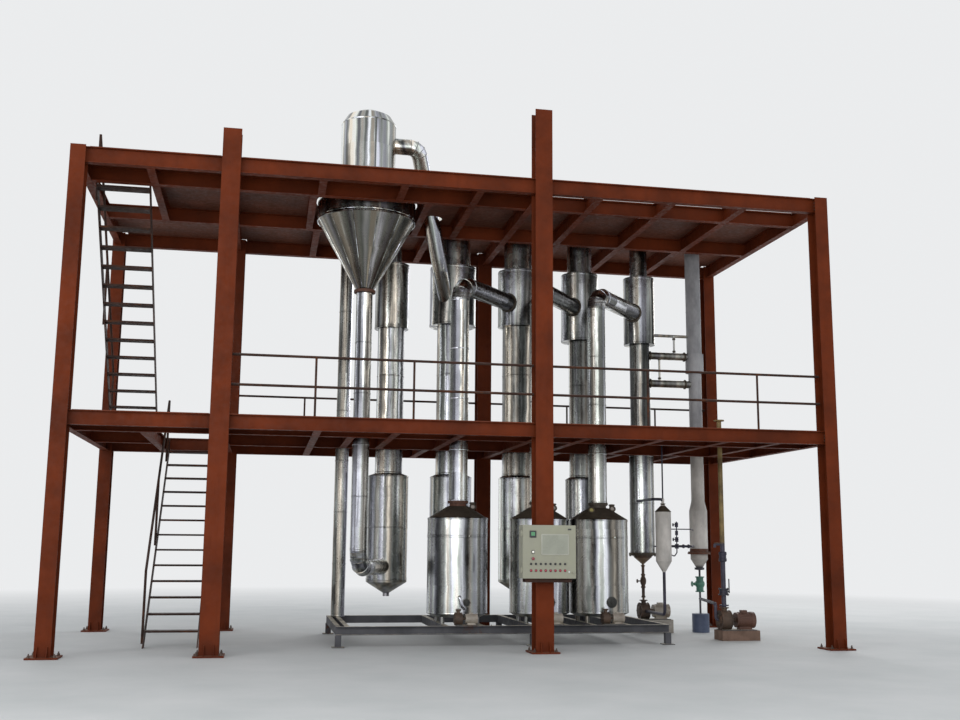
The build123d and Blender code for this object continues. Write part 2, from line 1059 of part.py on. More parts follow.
neck_flange_radius = neck_flange_diameter / 2
roof_top = roof_neck_top + neck_flange_thickness
roof_outline = [
    (separator_radius, separator_top),
    (roof_cone_top_radius, roof_cone_top),
    (neck_radius, roof_cone_top),
    (neck_radius, roof_neck_top),
    (neck_flange_radius, roof_neck_top),
    (neck_flange_radius, roof_top),
    (neck_radius - vessel_wall, roof_top),
    (neck_radius - vessel_wall, roof_cone_top - vessel_wall),
    (roof_cone_top_radius - vessel_wall, roof_cone_top - vessel_wall),
    (separator_radius - vessel_wall, separator_top),
]
roof_slope = (roof_cone_top - separator_top) / (separator_radius - roof_cone_top_radius)
roof_nozzle_foot = separator_top + (separator_radius - roof_nozzle_out) * roof_slope


def separator_roof(x):
    with BuildPart() as piece:
        add(turned(x, separator_y, roof_outline))
        add(
            rod(
                x + roof_nozzle_out,
                separator_y,
                roof_nozzle_foot - vessel_wall,
                roof_nozzle_foot + roof_nozzle_height - vessel_wall,
                roof_nozzle_radius,
            )
        )
    return piece.part


save(gather(separator_roof(x) for x in separator_x), "separator_roofs")

dish_steps = [
    (separator_radius, separator_bottom),
    (separator_radius * 0.8, separator_bottom - separator_dish * 0.6),
    (0, separator_bottom - separator_dish),
]


def separator_base(x):
    with BuildPart() as piece:
        add(turned(x, separator_y, closed_outline(dish_steps, vessel_wall)))
        with BuildSketch(Plane.XY.offset(skid_top)):
            with Locations((x, separator_y)):
                with GridLocations(2 * leg_offset, 2 * leg_offset, 2, 2):
                    Circle(leg_radius)
        extrude(amount=separator_bottom - skid_top - separator_dish / 2)
    return piece.part


save(gather(separator_base(x) for x in separator_x), "separator_bottoms")


def crossover(x_start, x_end, size):
    """Level duct from a separator to the calandria behind it, cut to both walls."""
    with BuildPart() as piece:
        add(
            mitred_pipe(
                [
                    (x_start, separator_y, crossover_height),
                    (x_end, calandria_y, crossover_height),
                ],
                crossover_diameter / 2,
                duct_wall,
            )
        )
        add(
            rod(x_start, separator_y, separator_bottom, separator_top, separator_radius),
            mode=Mode.SUBTRACT,
        )
        add(
            rod(x_end, calandria_y, calandria_bottom, calandria_step, size / 2),
            mode=Mode.SUBTRACT,
        )
    return piece.part


save(
    gather(
        crossover(*link)
        for link in zip(separator_x, calandria_x[1:], calandria_lower_diameter[1:])
    ),
    "crossover_ducts",
)

duct_goals = (
    (calandria_x[2], belt_diameter[2], belt_bottom[2]),
    (calandria_x[3], belt_diameter[3], belt_bottom[3]),
    (condenser_x, condenser_belt_diameter, condenser_belt_bottom),
)
for number, (x, height, (goal_x, goal_size, goal_low)) in enumerate(
    zip(separator_x, duct_height, duct_goals), start=1
):
    with BuildPart() as vapour_duct:
        add(
            mitred_pipe(
                rounded(
                    [
                        (x, separator_y, roof_top),
                        (x, separator_y, height),
                        (goal_x, calandria_y, height),
                    ],
                    duct_bend,
                ),
                duct_diameter / 2,
                duct_wall,
            )
        )
        add(
            rod(goal_x, calandria_y, goal_low, belt_top, goal_size / 2),
            mode=Mode.SUBTRACT,
        )
    save(vapour_duct.part, f"vapour_duct_{number}")

# Small pipes between the condenser and the vent condenser
with BuildPart() as cross_pipes:
    for height, radius in zip(cross_pipe_heights, cross_pipe_radii):
        add(
            bar(
                (condenser_x, calandria_y, height),
                (vent_x, calandria_y, height),
                radius,
            )
        )
    add(
        turned(
            condenser_x,
            calandria_y,
            condenser_steps + [(0, belt_top), (0, condenser_bottom)],
        ),
        mode=Mode.SUBTRACT,
    )
    add(
        turned(vent_x, calandria_y, vent_steps + [(0, head_top), (0, vent_bottom)]),
        mode=Mode.SUBTRACT,
    )
save(cross_pipes.part, "cross_pipes")

# Receiver, hung from the lower deck and drained to the condensate pump
receiver_y = front_y + receiver_row
receiver_radius = receiver_diameter / 2
receiver_neck_top = receiver_cone_top + receiver_neck
receiver_steps = [
    (receiver_pipe_radius, receiver_cone_bottom),
    (receiver_radius, receiver_bottom),
    (receiver_radius, receiver_top),
    (receiver_pipe_radius, receiver_cone_top),
]
with BuildPart() as receiver:
    add(
        turned(
            receiver_x,
            receiver_y,
            receiver_steps
            + [
                (receiver_pipe_radius, receiver_neck_top),
                (0, receiver_neck_top),
                (0, receiver_cone_top - vessel_wall),
                (receiver_radius - vessel_wall, receiver_top - vessel_wall / 2),
                (receiver_radius - vessel_wall, receiver_bottom + vessel_wall / 2),
                (0, receiver_cone_bottom + vessel_wall),
                (0, receiver_cone_bottom),
            ],
        )
    )
save(receiver.part, "receiver")

with BuildPart() as receiver_pipes:
    add(
        rod(
            receiver_x,
            receiver_y,
            receiver_neck_top,
            lower_floor,
            receiver_hanger_radius,
        )
    )
    add(
        mitred_pipe(
            rounded(
                [
                    (receiver_x, receiver_y, receiver_cone_bottom),
                    (receiver_x, receiver_y, condensate_axis),
                    (receiver_x, calandria_y - condensate_radius, condensate_axis),
                ],
                receiver_drain_bend,
            ),
            receiver_pipe_radius,
            duct_wall,
        )
    )
    add(
        rod(
            condenser_x,
            calandria_y,
            condensate_plinth,
            condensate_nozzle_top,
            condensate_radius,
        ),
        mode=Mode.SUBTRACT,
    )
save(receiver_pipes.part, "receiver_pipes")

# Skid: two long channels that face outwards, cross channels between them, on steel feet
skid_front_y = front_y + skid_front
skid_back_y = front_y + skid_back
cross_member_x = [skid_left + skid_channel_width / 2, riser_x]
cross_member_x += [x + side * leg_offset for x in separator_x for side in (-1, 1)]
cross_member_x += [skid_right - skid_channel_width / 2]


def channel(length, depth, width, wall):
    """Channel along local X with its top at zero and its open side towards -Y."""
    with BuildPart() as piece:
        with BuildSketch(Plane.YZ.offset(-length / 2)):
            with Locations((-width / 2, -depth / 2)):
                Rectangle(width, depth)
            with Locations((-(width + wall) / 2, -depth / 2)):
                Rectangle(width - wall, depth - 2 * wall, mode=Mode.SUBTRACT)
        extrude(amount=length)
    return piece.part


skid_length = skid_right - skid_left
skid_middle = (skid_left + skid_right) / 2
long_channel = channel(
    skid_length, skid_channel_depth, skid_channel_width, skid_channel_wall
)
cross_span = skid_back_y - skid_front_y - 2 * skid_channel_width
with BuildPart() as skid_frame:
    add(
        long_channel.moved(
            Location((skid_middle, skid_front_y + skid_channel_width, skid_top))
        )
    )
    add(
        long_channel.moved(
            Location((skid_middle, skid_back_y - skid_channel_width, skid_top), (0, 0, 180))
        )
    )
    for x in cross_member_x:
        with Locations(
            (x, (skid_front_y + skid_back_y) / 2, skid_top - skid_channel_depth / 2)
        ):
            Box(skid_channel_width, cross_span, skid_channel_depth)
            Box(
                skid_channel_width - 2 * skid_channel_wall,
                cross_span,
                skid_channel_depth - 2 * skid_channel_wall,
                mode=Mode.SUBTRACT,
            )
save(skid_frame.part, "skid_frame")

foot_height = skid_top - skid_channel_depth
foot_x = (cross_member_x[0], cross_member_x[4], cross_member_x[-1])
foot_y = (skid_front_y + skid_channel_width / 2, skid_back_y - skid_channel_width / 2)
with BuildPart() as skid_feet:
    for x in foot_x:
        for y in foot_y:
            with Locations((x, y, foot_height / 2)):
                Box(foot_size, foot_size, foot_height)
            with Locations((x, y, foot_plate_thickness / 2)):
                Box(foot_plate, foot_plate, foot_plate_thickness)
save(skid_feet.part, "skid_feet")


# Pumps: a round casing with an upright nozzle, a shaft and a motor on one base
def pump_parts(x, y, floor, radius):
    """Casing, motor and base of one set; the shaft runs along X."""
    axis_z = floor + pump_base + radius
    casing_width = radius * casing_share
    motor_size = radius * motor_radius_share
    motor_run = radius * motor_length_share
    shaft_run = radius * shaft_share
    motor_start = x + casing_width / 2 + shaft_run
    base_run = casing_width + shaft_run + motor_run
    with BuildPart() as casing:
        with BuildSketch(Plane.YZ.offset(x - casing_width / 2)):
            with Locations((y, axis_z)):
                Circle(radius)
        extrude(amount=casing_width)
        with BuildSketch(Plane.YZ.offset(x)):
            with Locations((y, axis_z)):
                Circle(radius * shaft_radius_share)
        extrude(amount=casing_width / 2 + shaft_run)
        with BuildSketch(Plane.XY.offset(axis_z)):
            with Locations((x, y)):
                Circle(radius * nozzle_radius_share)
        extrude(amount=radius + pump_nozzle)
    with BuildPart() as motor:
        with BuildSketch(Plane.YZ.offset(motor_start)):
            with Locations((y, axis_z)):
                Circle(motor_size)
        extrude(amount=motor_run)
        with Locations((motor_start + motor_run / 2, y, floor + pump_base + radius / 2)):
            Box(motor_run * motor_foot_share, motor_size, radius)
    with BuildPart() as base:
        with Locations((x - casing_width / 2 + base_run / 2, y, floor + pump_base / 2)):
            Box(base_run, radius * 2, pump_base)
    return casing.part, motor.part, base.part


def plinth(x_start, x_end, y, width, height):
    with BuildPart() as piece:
        with Locations(((x_start + x_end) / 2, y, height / 2)):
            Box(x_end - x_start, width, height)
    return piece.part


line_y = front_y + line_row
pump_sets = [
    (x - transfer_radius, front_y + transfer_row, skid_top, transfer_radius)
    for x in separator_x
]
pump_sets += [
    (condenser_x, calandria_y, condensate_plinth, condensate_radius),
    (line_x, line_y, vacuum_plinth, vacuum_radius),
]
built_sets = [pump_parts(*pump_set) for pump_set in pump_sets]
save(gather(casing for casing, motor, base in built_sets), "pump_casings")
save(gather(motor for casing, motor, base in built_sets), "pump_motors")
save(gather(base for casing, motor, base in built_sets), "pump_bases")


def plinth_under(x, y, height, radius):
    return plinth(
        x - radius * plinth_before_share,
        x + radius * plinth_after_share,
        y,
        radius * plinth_width_share,
        height,
    )


save(
    gather(
        [
            plinth_under(condenser_x, calandria_y, condensate_plinth, condensate_radius),
            plinth_under(line_x, line_y, vacuum_plinth, vacuum_radius),
        ]
    ),
    "pump_plinths",
)

# Vacuum line: pipe, ball valve and lever, standing on the vacuum pump
vacuum_nozzle_top = vacuum_plinth + pump_base + 2 * vacuum_radius + pump_nozzle
valve_low = valve_height - valve_body_height / 2
valve_high = valve_height + valve_body_height / 2
branch_height = 1700
branch_reach = 150
branch_drop = 60
coupling_bottom = 1400
coupling_top = 1550
coupling_radius = 62
with BuildPart() as vacuum_line:
    add(rod(line_x, line_y, vacuum_nozzle_top, valve_low, line_radius))
    add(rod(line_x, line_y, valve_high, line_top, line_radius))
    add(rod(line_x, line_y, coupling_bottom, coupling_top, coupling_radius))
    add(
        rod(line_x, line_y, line_top, line_top + valve_flange_thickness, valve_flange_radius)
    )
    add(
        bar(
            (line_x, line_y, branch_height),
            (line_x - branch_reach, line_y, branch_height),
            line_radius * 0.6,
        )
    )
    add(
        rod(
            line_x - branch_reach,
            line_y,
            branch_height - branch_drop,
            branch_height,
            line_radius * 0.6,
        )
    )
vacuum_axis = vacuum_plinth + pump_base + vacuum_radius
suction_height = 640
suction_x = line_x - vacuum_radius
with BuildPart() as vent_drain_line:
    add(
        mitred_pipe(
            rounded(
                [
                    (vent_x, calandria_y, suction_height),
                    (suction_x, line_y, suction_height),
                    (suction_x, line_y, vacuum_axis),
                    (line_x, line_y, vacuum_axis),
                ],
                vent_drain_bend,
            ),
            receiver_pipe_radius,
            duct_wall,
        )
    )
    with Locations((line_x, line_y, vacuum_axis)):
        Cylinder(
            vacuum_radius,
            vacuum_radius * casing_share,
            rotation=(0, 90, 0),
            mode=Mode.SUBTRACT,
        )
    add(
        rod(vent_x, calandria_y, vent_drain_foot, vent_neck, vent_drain_radius),
        mode=Mode.SUBTRACT,
    )
save(gather([vacuum_line.part, vent_drain_line.part]), "vacuum_line")

lever_x = line_x + valve_flange_radius + running_gap
with BuildPart() as ball_valve:
    add(rod(line_x, line_y, valve_low, valve_high, valve_body_radius))
    for flange_bottom in (valve_low, valve_high - valve_flange_thickness):
        add(
            rod(
                line_x,
                line_y,
                flange_bottom,
                flange_bottom + valve_flange_thickness,
                valve_flange_radius,
            )
        )
    add(
        bar(
            (line_x, line_y, valve_height),
            (lever_x + lever_thickness + running_gap, line_y, valve_height),
            spindle_radius,
        )
    )
save(ball_valve.part, "ball_valve")

with BuildPart() as valve_lever:
    with BuildSketch(Plane.YZ.offset(lever_x)):
        with Locations((line_y, valve_height)):
            Circle(lever_width * 0.75)
        with Locations((line_y, valve_height + lever_length / 2)):
            Rectangle(lever_width, lever_length)
        with Locations((line_y, valve_height)):
            Circle(spindle_radius + pin_gap, mode=Mode.SUBTRACT)
    extrude(amount=lever_thickness)
save(valve_lever.part, "valve_lever")

# Control cabinet: box on two rails, door in front on two pin hinges
cabinet_x = column_x[2]
cabinet_left = cabinet_x - cabinet_width / 2
cabinet_back_y = front_y - column_depth / 2 - cabinet_standoff
cabinet_front_y = cabinet_back_y - cabinet_depth
cabinet_middle_z = cabinet_bottom + cabinet_height / 2
door_back_y = cabinet_front_y - running_gap
hinge_x = cabinet_left - hinge_offset
hinge_y = door_back_y - door_depth / 2
hinge_heights = (
    cabinet_bottom + hinge_inset,
    cabinet_bottom + cabinet_height - hinge_inset,
)
cabinet_rail_height = 40
with BuildPart() as control_cabinet:
    with Locations((cabinet_x, cabinet_back_y - cabinet_depth / 2, cabinet_middle_z)):
        Box(cabinet_width, cabinet_depth, cabinet_height)
    with Locations(
        (
            cabinet_x,
            cabinet_back_y - cabinet_wall - cabinet_depth / 2,
            cabinet_middle_z,
        )
    ):
        Box(
            cabinet_width - 2 * cabinet_wall,
            cabinet_depth,
            cabinet_height - 2 * cabinet_wall,
            mode=Mode.SUBTRACT,
        )
    for rail_z in hinge_heights:
        with Locations((cabinet_x, cabinet_back_y + cabinet_standoff / 2, rail_z)):
            Box(column_width, cabinet_standoff, cabinet_rail_height)
    for height in hinge_heights:
        add(
            rod(
                hinge_x,
                hinge_y,
                height - hinge_length / 2 - hinge_lug,
                height + hinge_length / 2 + hinge_lug,
                hinge_pin_radius,
            )
        )
        for way in (-1, 1):
            lug_z = height + way * (hinge_length / 2 + hinge_lug / 2)
            lug_start = hinge_y - hinge_lug / 2
            lug_end = cabinet_front_y + hinge_offset
            lug_left = hinge_x - hinge_lug / 2
            ear_height = hinge_lug - 2 * hinge_lug_gap
            with Locations((hinge_x, (lug_start + lug_end) / 2, lug_z)):
                Box(hinge_lug, lug_end - lug_start, ear_height)
            with Locations(
                ((lug_left + cabinet_left) / 2, (cabinet_front_y + lug_end) / 2, lug_z)
            ):
                Box(cabinet_left - lug_left, lug_end - cabinet_front_y, ear_height)
save(control_cabinet.part, "control_cabinet")

handle_radius = 14
handle_inset = 45
with BuildPart() as cabinet_door:
    with Locations((cabinet_x, door_back_y - door_depth / 2, cabinet_middle_z)):
        Box(cabinet_width, door_depth, cabinet_height)
    with Locations((cabinet_x, door_back_y - door_depth / 2 + door_wall, cabinet_middle_z)):
        Box(
            cabinet_width - 2 * door_wall,
            door_depth,
            cabinet_height - 2 * door_wall,
            mode=Mode.SUBTRACT,
        )
    for height in hinge_heights:
        with Locations(((hinge_x + cabinet_left) / 2, hinge_y, height)):
            Box(hinge_offset, 2 * door_wall, hinge_length)
        add(
            rod(
                hinge_x,
                hinge_y,
                height - hinge_length / 2,
                height + hinge_length / 2,
                hinge_radius,
            )
        )
        add(
            rod(
                hinge_x,
                hinge_y,
                height - hinge_length / 2,
                height + hinge_length / 2,
                hinge_pin_radius + pin_gap,
            ),
            mode=Mode.SUBTRACT,
        )
    with BuildSketch(Plane.XZ.offset(-(door_back_y - door_depth))):
        with Locations(
            (cabinet_x + cabinet_width / 2 - handle_inset, cabinet_bottom + 2 * handle_inset)
        ):
            Circle(handle_radius)
    extrude(amount=handle_reach)
save(cabinet_door.part, "cabinet_door")
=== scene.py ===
"""Looks of a multiple effect evaporator plant.

The plant stands in a two-floor steel frame: clad calandrias and a condenser in the rear row, low vapour
separators in front of them, one high separator, a pump skid, stairs and a control cabinet. Metres, +Z up,
front towards -Y. Each sub-assembly is a class that holds its sizes and adds its small pieces; NODE_FINISHES
says what each node of the frame is dressed in.
"""

import itertools
import logging
import math
from dataclasses import dataclass, replace
from enum import Enum
from typing import Callable, Iterable, Sequence

import bmesh
import bpy
import numpy as np
from mathutils import Matrix, Vector


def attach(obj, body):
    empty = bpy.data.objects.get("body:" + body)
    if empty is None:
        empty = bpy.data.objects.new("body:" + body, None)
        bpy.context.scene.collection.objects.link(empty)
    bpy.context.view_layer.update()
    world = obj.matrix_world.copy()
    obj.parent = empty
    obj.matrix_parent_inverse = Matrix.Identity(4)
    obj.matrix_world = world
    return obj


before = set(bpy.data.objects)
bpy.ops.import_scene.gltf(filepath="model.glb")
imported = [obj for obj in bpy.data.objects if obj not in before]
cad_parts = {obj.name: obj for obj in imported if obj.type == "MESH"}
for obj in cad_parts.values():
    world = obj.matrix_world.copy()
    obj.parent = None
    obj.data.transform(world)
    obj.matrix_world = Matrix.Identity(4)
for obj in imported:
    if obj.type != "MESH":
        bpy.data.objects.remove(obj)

LOG = logging.getLogger("evaporator")
Array = np.ndarray
Triple = tuple[float, float, float]
Colour = Triple
Stops = tuple[tuple[float, float], ...]
UPRIGHT = 2

PLANT = "plant"
DOOR = "door"
SIDES = (-1, 1)
SHARP_ANGLE = math.radians(32)
WELD_DISTANCE = 1e-6


class Axis(Enum):
    """Direction that a turned or stacked shape points in."""

    RIGHT = (1.0, 0.0, 0.0)
    LEFT = (-1.0, 0.0, 0.0)
    BACK = (0.0, 1.0, 0.0)
    FRONT = (0.0, -1.0, 0.0)
    UP = (0.0, 0.0, 1.0)
    DOWN = (0.0, 0.0, -1.0)


Way = Axis | Sequence[float]
Point = Sequence[float]


@dataclass(frozen=True)
class Layout:
    """Grid lines and levels of the plant, from floor level at the middle of the footprint."""

    column_x: tuple[float, ...] = (-6.195, -3.885, 1.2, 6.195)
    front_y: float = -2.3875
    separator_y: float = -0.3875
    calandria_y: float = 1.2625
    rear_y: float = 2.6125
    lower_floor: float = 3.6
    upper_floor: float = 7.705
    lower_depth: float = 0.22
    upper_depth: float = 0.25
    column_half: float = 0.145
    calandria_x: tuple[float, ...] = (-0.88, 0.315, 1.635, 2.9)
    separator_x: tuple[float, ...] = (0.175, 1.645, 2.735)
    condenser_x: float = 4.15
    vent_x: float = 5.32
    riser_x: float = -1.765
    high_x: float = -1.555
    line_x: float = 5.06
    line_y: float = -0.4875
    receiver_x: float = 4.155
    receiver_y: float = 0.1125


GRID = Layout()


# Shapes

def unit(way: Way) -> Array:
    """Direction of length one."""
    given = np.asarray(way.value if isinstance(way, Axis) else way, float)
    return given / np.linalg.norm(given)


def level_way(angle: float) -> Array:
    """Level direction at an angle from the plant's right."""
    return np.array([math.cos(angle), math.sin(angle), 0.0])


def triad(axis: Way) -> Array:
    """Right-handed set of three unit directions whose last one is the axis.

    Args:
        axis: direction of the third row.

    Returns:
        A 3 by 3 array, one direction a row.
    """
    third = unit(axis)
    first = unit(np.cross(Axis.UP.value if abs(third[2]) < 0.9 else Axis.RIGHT.value, third))
    return np.stack([first, np.cross(third, first), third])


def circle(count: int, start: float = 0.0, sweep: float = math.tau, closed: bool = True) -> Array:
    """Unit circle: cosine and sine of angles at an even pitch.

    Args:
        count: number of points.
        start: first angle.
        sweep: angle covered.
        closed: leave out the last angle, which repeats the first.

    Returns:
        A count by 2 array.
    """
    angles = start + np.linspace(0.0, sweep, count, endpoint=not closed)
    return np.stack([np.cos(angles), np.sin(angles)], axis=1)


def turned(profile: Sequence[Point], centre: Point, axis: Way = Axis.UP, sides: int = 48) -> Array:
    """Surface of revolution: point = centre + radius (cos a, sin a) across + height along the axis.

    Args:
        profile: corners as (radius, height), from the lower pole to the upper pole.
        centre: point on the axis where height is zero.
        axis: direction of the axis.
        sides: steps round the axis.

    Returns:
        A grid of sides by corners by 3; it closes in its first direction.
    """
    corners = np.asarray(profile, float)
    directions = triad(axis)
    round_part = circle(sides) @ directions[:2]
    points = round_part[:, None, :] * corners[None, :, :1] + corners[None, :, 1:] * directions[2]
    return points + np.asarray(centre, float)


def ring(inner: float, outer: float, low: float, high: float, bevel: float = 0.0) -> Sequence[Point]:
    """Profile of a flat ring, as (radius, height) corners with the outer edge bevelled.

    Args:
        inner: hole radius.
        outer: rim radius.
        low: lower face.
        high: upper face.
        bevel: cut on the two outer corners.

    Returns:
        The corners, which a hoop joins back to the first one.
    """
    return [(inner, low), (outer - bevel, low), (outer, low + bevel),
            (outer, high - bevel), (outer - bevel, high), (inner, high)]


def smooth_path(points: Sequence[Point], radius: float, steps: int = 8) -> Array:
    """Route with its corners rounded: each corner becomes points on a circle that touches both runs.

    Args:
        points: corners of the route.
        radius: bend radius on the centre line.
        steps: points on each bend.

    Returns:
        An n by 3 array.
    """
    route = np.asarray(points, float)
    if len(route) < 3:
        return route
    made = [route[:1]]
    for before, corner, after in zip(route[:-2], route[1:-1], route[2:]):
        inward, outward = before - corner, after - corner
        reach_in, reach_out = np.linalg.norm(inward), np.linalg.norm(outward)
        inward, outward = inward / reach_in, outward / reach_out
        half = math.acos(float(np.clip(inward @ outward, -1, 1))) / 2
        cut = min(radius / math.tan(half), 0.48 * reach_in, 0.48 * reach_out)
        bend = cut * math.tan(half)
        middle = (inward + outward) / np.linalg.norm(inward + outward)
        hub = corner + middle * math.hypot(cut, bend)
        start, end = corner + inward * cut - hub, corner + outward * cut - hub
        turn = math.pi - 2 * half
        share = np.linspace(0.0, 1.0, steps)[:, None]
        made.append(hub + (np.sin((1 - share) * turn) * start + np.sin(share * turn) * end) / math.sin(turn))
    made.append(route[-1:])
    return np.concatenate(made)


def carried(path: Array, section: Array) -> Array:
    """A flat section carried along a path: point = path + section x across + section y up.

    The two side directions are turned with the path by removing the part along its tangent.

    Args:
        path: n by 3 points.
        section: m by 2 points of a closed outline.

    Returns:
        A grid of sections by section points by 3 that closes in its second direction; a point shuts each end.
    """
    steps = np.diff(path, axis=0)
    steps /= np.linalg.norm(steps, axis=1)[:, None]
    tangents = np.concatenate([steps[:1], steps[:-1] + steps[1:], steps[-1:]])
    tangents /= np.linalg.norm(tangents, axis=1)[:, None]
    across = triad(tangents[0])[0]
    rows = []
    for point, tangent in zip(path, tangents):
        across = unit(across - tangent * (across @ tangent))
        up = np.cross(tangent, across)
        rows.append(point + section[:, :1] * across + section[:, 1:] * up)
    first, last = (np.tile(point, (len(section), 1)) for point in (path[0], path[-1]))
    return np.stack([first, *rows, last])


def stacked(outline: Array, centre: Point, axis: Way, depth: float, bevel: float = 0.0,
            across: Way | None = None) -> Array:
    """Plate with a convex outline: the outline repeated at four levels, drawn in by the bevel at both ends.

    Args:
        outline: m by 2 points about the centre.
        centre: middle of the first face.
        axis: direction of the thickness.
        depth: thickness.
        bevel: cut on both rims.
        across: direction of the outline's first coordinate.

    Returns:
        A grid of levels by outline points by 3; it closes in its second direction.
    """
    directions = triad(axis)
    if across is not None:
        first = unit(across)
        directions = np.stack([first, np.cross(directions[2], first), directions[2]])
    size = np.abs(outline).max(axis=0)
    shrink = np.maximum(1 - bevel / np.maximum(size, 1e-9), 0.0)
    levels = ((0.0, 0.0), (0.0, shrink), (bevel, 1.0), (depth - bevel, 1.0), (depth, shrink), (depth, 0.0))
    rows = [(outline * share) @ directions[:2] + height * directions[2] for height, share in levels]
    return np.stack(rows) + np.asarray(centre, float)


def rectangle(width: float, height: float, corner: float = 0.0, steps: int = 3) -> Array:
    """Outline of a rectangle with rounded corners: a quarter circle is set at each corner.

    Args:
        width: size along the first direction.
        height: size along the second direction.
        corner: radius of the corners, or none for sharp ones.
        steps: points on each corner.

    Returns:
        An n by 2 array about the middle.
    """
    if corner <= 0:
        return np.array([[1, 1], [-1, 1], [-1, -1], [1, -1]]) * np.array([width, height]) / 2
    made = []
    for number, (side, top) in enumerate(((1, 1), (-1, 1), (-1, -1), (1, -1))):
        quarter = circle(steps, number * math.pi / 2, math.pi / 2, closed=False) * corner
        made.append(quarter + np.array([side * (width / 2 - corner), top * (height / 2 - corner)]))
    return np.concatenate(made)


class Mesh:
    """Gathers grids of points, and makes one object from them."""

    def __init__(self) -> None:
        """Starts with nothing in it."""
        self.points: list[Array] = []
        self.quads: list[Array] = []
        self.count = 0

    def add(self, grid: Array, wrap_u: bool = False, wrap_v: bool = False) -> "Mesh":
        """Adds a grid; each quad joins four neighbours, and wrap closes a direction.

        Args:
            grid: rows by columns by 3.
            wrap_u: join the last row to the first.
            wrap_v: join the last column to the first.

        Returns:
            This mesh.
        """
        rows, columns = grid.shape[:2]
        index = np.arange(rows * columns).reshape(rows, columns) + self.count
        if wrap_u:
            index = np.concatenate([index, index[:1]])
        if wrap_v:
            index = np.concatenate([index, index[:, :1]], axis=1)
        quads = np.stack([index[:-1, :-1], index[1:, :-1], index[1:, 1:], index[:-1, 1:]], axis=-1)
        self.points.append(grid.reshape(-1, 3))
        self.quads.append(quads.reshape(-1, 4))
        self.count += rows * columns
        return self

    def turn(self, profile: Sequence[Point], centre: Point = (0.0, 0.0, 0.0), axis: Way = Axis.UP,
             sides: int = 48) -> "Mesh":
        """Adds a turned body: a zero radius before and after the profile shuts it at both poles."""
        shut = [(0.0, profile[0][1]), *profile, (0.0, profile[-1][1])]
        return self.add(turned(shut, centre, axis, sides), wrap_u=True)

    def hoop(self, profile: Sequence[Point], centre: Point, axis: Way = Axis.UP, sides: int = 48) -> "Mesh":
        """Adds a turned ring: its profile is joined back to its start."""
        return self.add(turned([*profile, profile[0]], centre, axis, sides), wrap_u=True)

    def pipe(self, points: Sequence[Point], radius: float, bend: float = 0.0, sides: int = 16) -> "Mesh":
        """Adds a round bar or pipe along a route with rounded corners."""
        path = smooth_path(points, bend) if bend > 0 else np.asarray(points, float)
        return self.add(carried(path, circle(sides) * radius), wrap_v=True)

    def mitre_bead(self, before: Array, corner: Array, after: Array, radius: float, bead: float) -> "Mesh":
        """Adds a bead where two straight pipes meet: the cut is an ellipse with a small round section.

        Args:
            before: point on the first pipe's axis.
            corner: point where both axes meet.
            after: point on the second pipe's axis.
            radius: pipe radius.
            bead: radius of the bead's section.

        Returns:
            This mesh.
        """
        first, second = unit(corner - before), unit(after - corner)
        along, side = unit(first + second), unit(np.cross(first, second))
        across = np.cross(along, side)
        half = math.acos(float(np.clip(first @ second, -1.0, 1.0))) / 2
        round_part = circle(56)
        out = round_part[:, :1] * across / math.cos(half) + round_part[:, 1:] * side
        sideways = out / np.linalg.norm(out, axis=1)[:, None]
        section = circle(8) * bead
        middle = corner + (out * radius)[:, None, :]
        grid = middle + sideways[:, None, :] * section[None, :, :1] + along * section[None, :, 1:]
        return self.add(grid, wrap_u=True, wrap_v=True)

    def plate(self, outline: Array, centre: Point, axis: Way, depth: float, bevel: float = 0.0,
              across: Way | None = None) -> "Mesh":
        """Adds a plate with a convex outline."""
        return self.add(stacked(outline, centre, axis, depth, bevel, across), wrap_v=True)

    def block(self, low: Point, high: Point, bevel: float) -> "Mesh":
        """Adds a bevelled block between two corners.

        Args:
            low: lower front left corner.
            high: upper rear right corner.
            bevel: cut on its edges.

        Returns:
            This mesh.
        """
        size = np.subtract(high, low)
        base = (*np.add(low, high)[:2] / 2, low[2])
        return self.plate(rectangle(size[0], size[1], bevel, 2), base, Axis.UP, size[2], bevel, Axis.RIGHT)

    def copies(self, small: "Mesh", origins: Sequence[Point], axes: Way | Sequence[Point]) -> "Mesh":
        """Adds copies of a small mesh: point = origin + its coordinates along each copy's directions.

        Args:
            small: mesh made about the origin, pointing up.
            origins: places.
            axes: a direction for each upright axis, or one for all.

        Returns:
            This mesh.
        """
        points = np.concatenate(small.points)
        quads = np.concatenate(small.quads)
        if isinstance(axes, Axis) or np.ndim(axes) == 1:
            axes = [axes] * len(origins)
        frames = np.stack([triad(axis) for axis in axes])
        placed = np.einsum("kj,njc->nkc", points, frames) + np.asarray(origins, float)[:, None, :]
        shift = (np.arange(len(origins)) * len(points) + self.count)[:, None, None]
        self.points.append(placed.reshape(-1, 3))
        self.quads.append((quads[None] + shift).reshape(-1, 4))
        self.count += len(points) * len(origins)
        return self

    def circle_of(self, small: "Mesh", centre: Point, radius: float, count: int, axis: Way,
                  start: float = 0.0, facing: Way | None = None) -> "Mesh":
        """Adds copies of a small mesh at an even pitch on a circle.

        Args:
            small: mesh made about the origin, pointing up.
            centre: middle of the circle.
            radius: its radius.
            count: number of copies.
            axis: direction of the circle's axis.
            start: angle of the first copy.
            facing: direction of the copies, where it isn't the axis.

        Returns:
            This mesh.
        """
        places = np.asarray(centre, float) + (circle(count, start) * radius) @ triad(axis)[:2]
        return self.copies(small, places, axis if facing is None else facing)

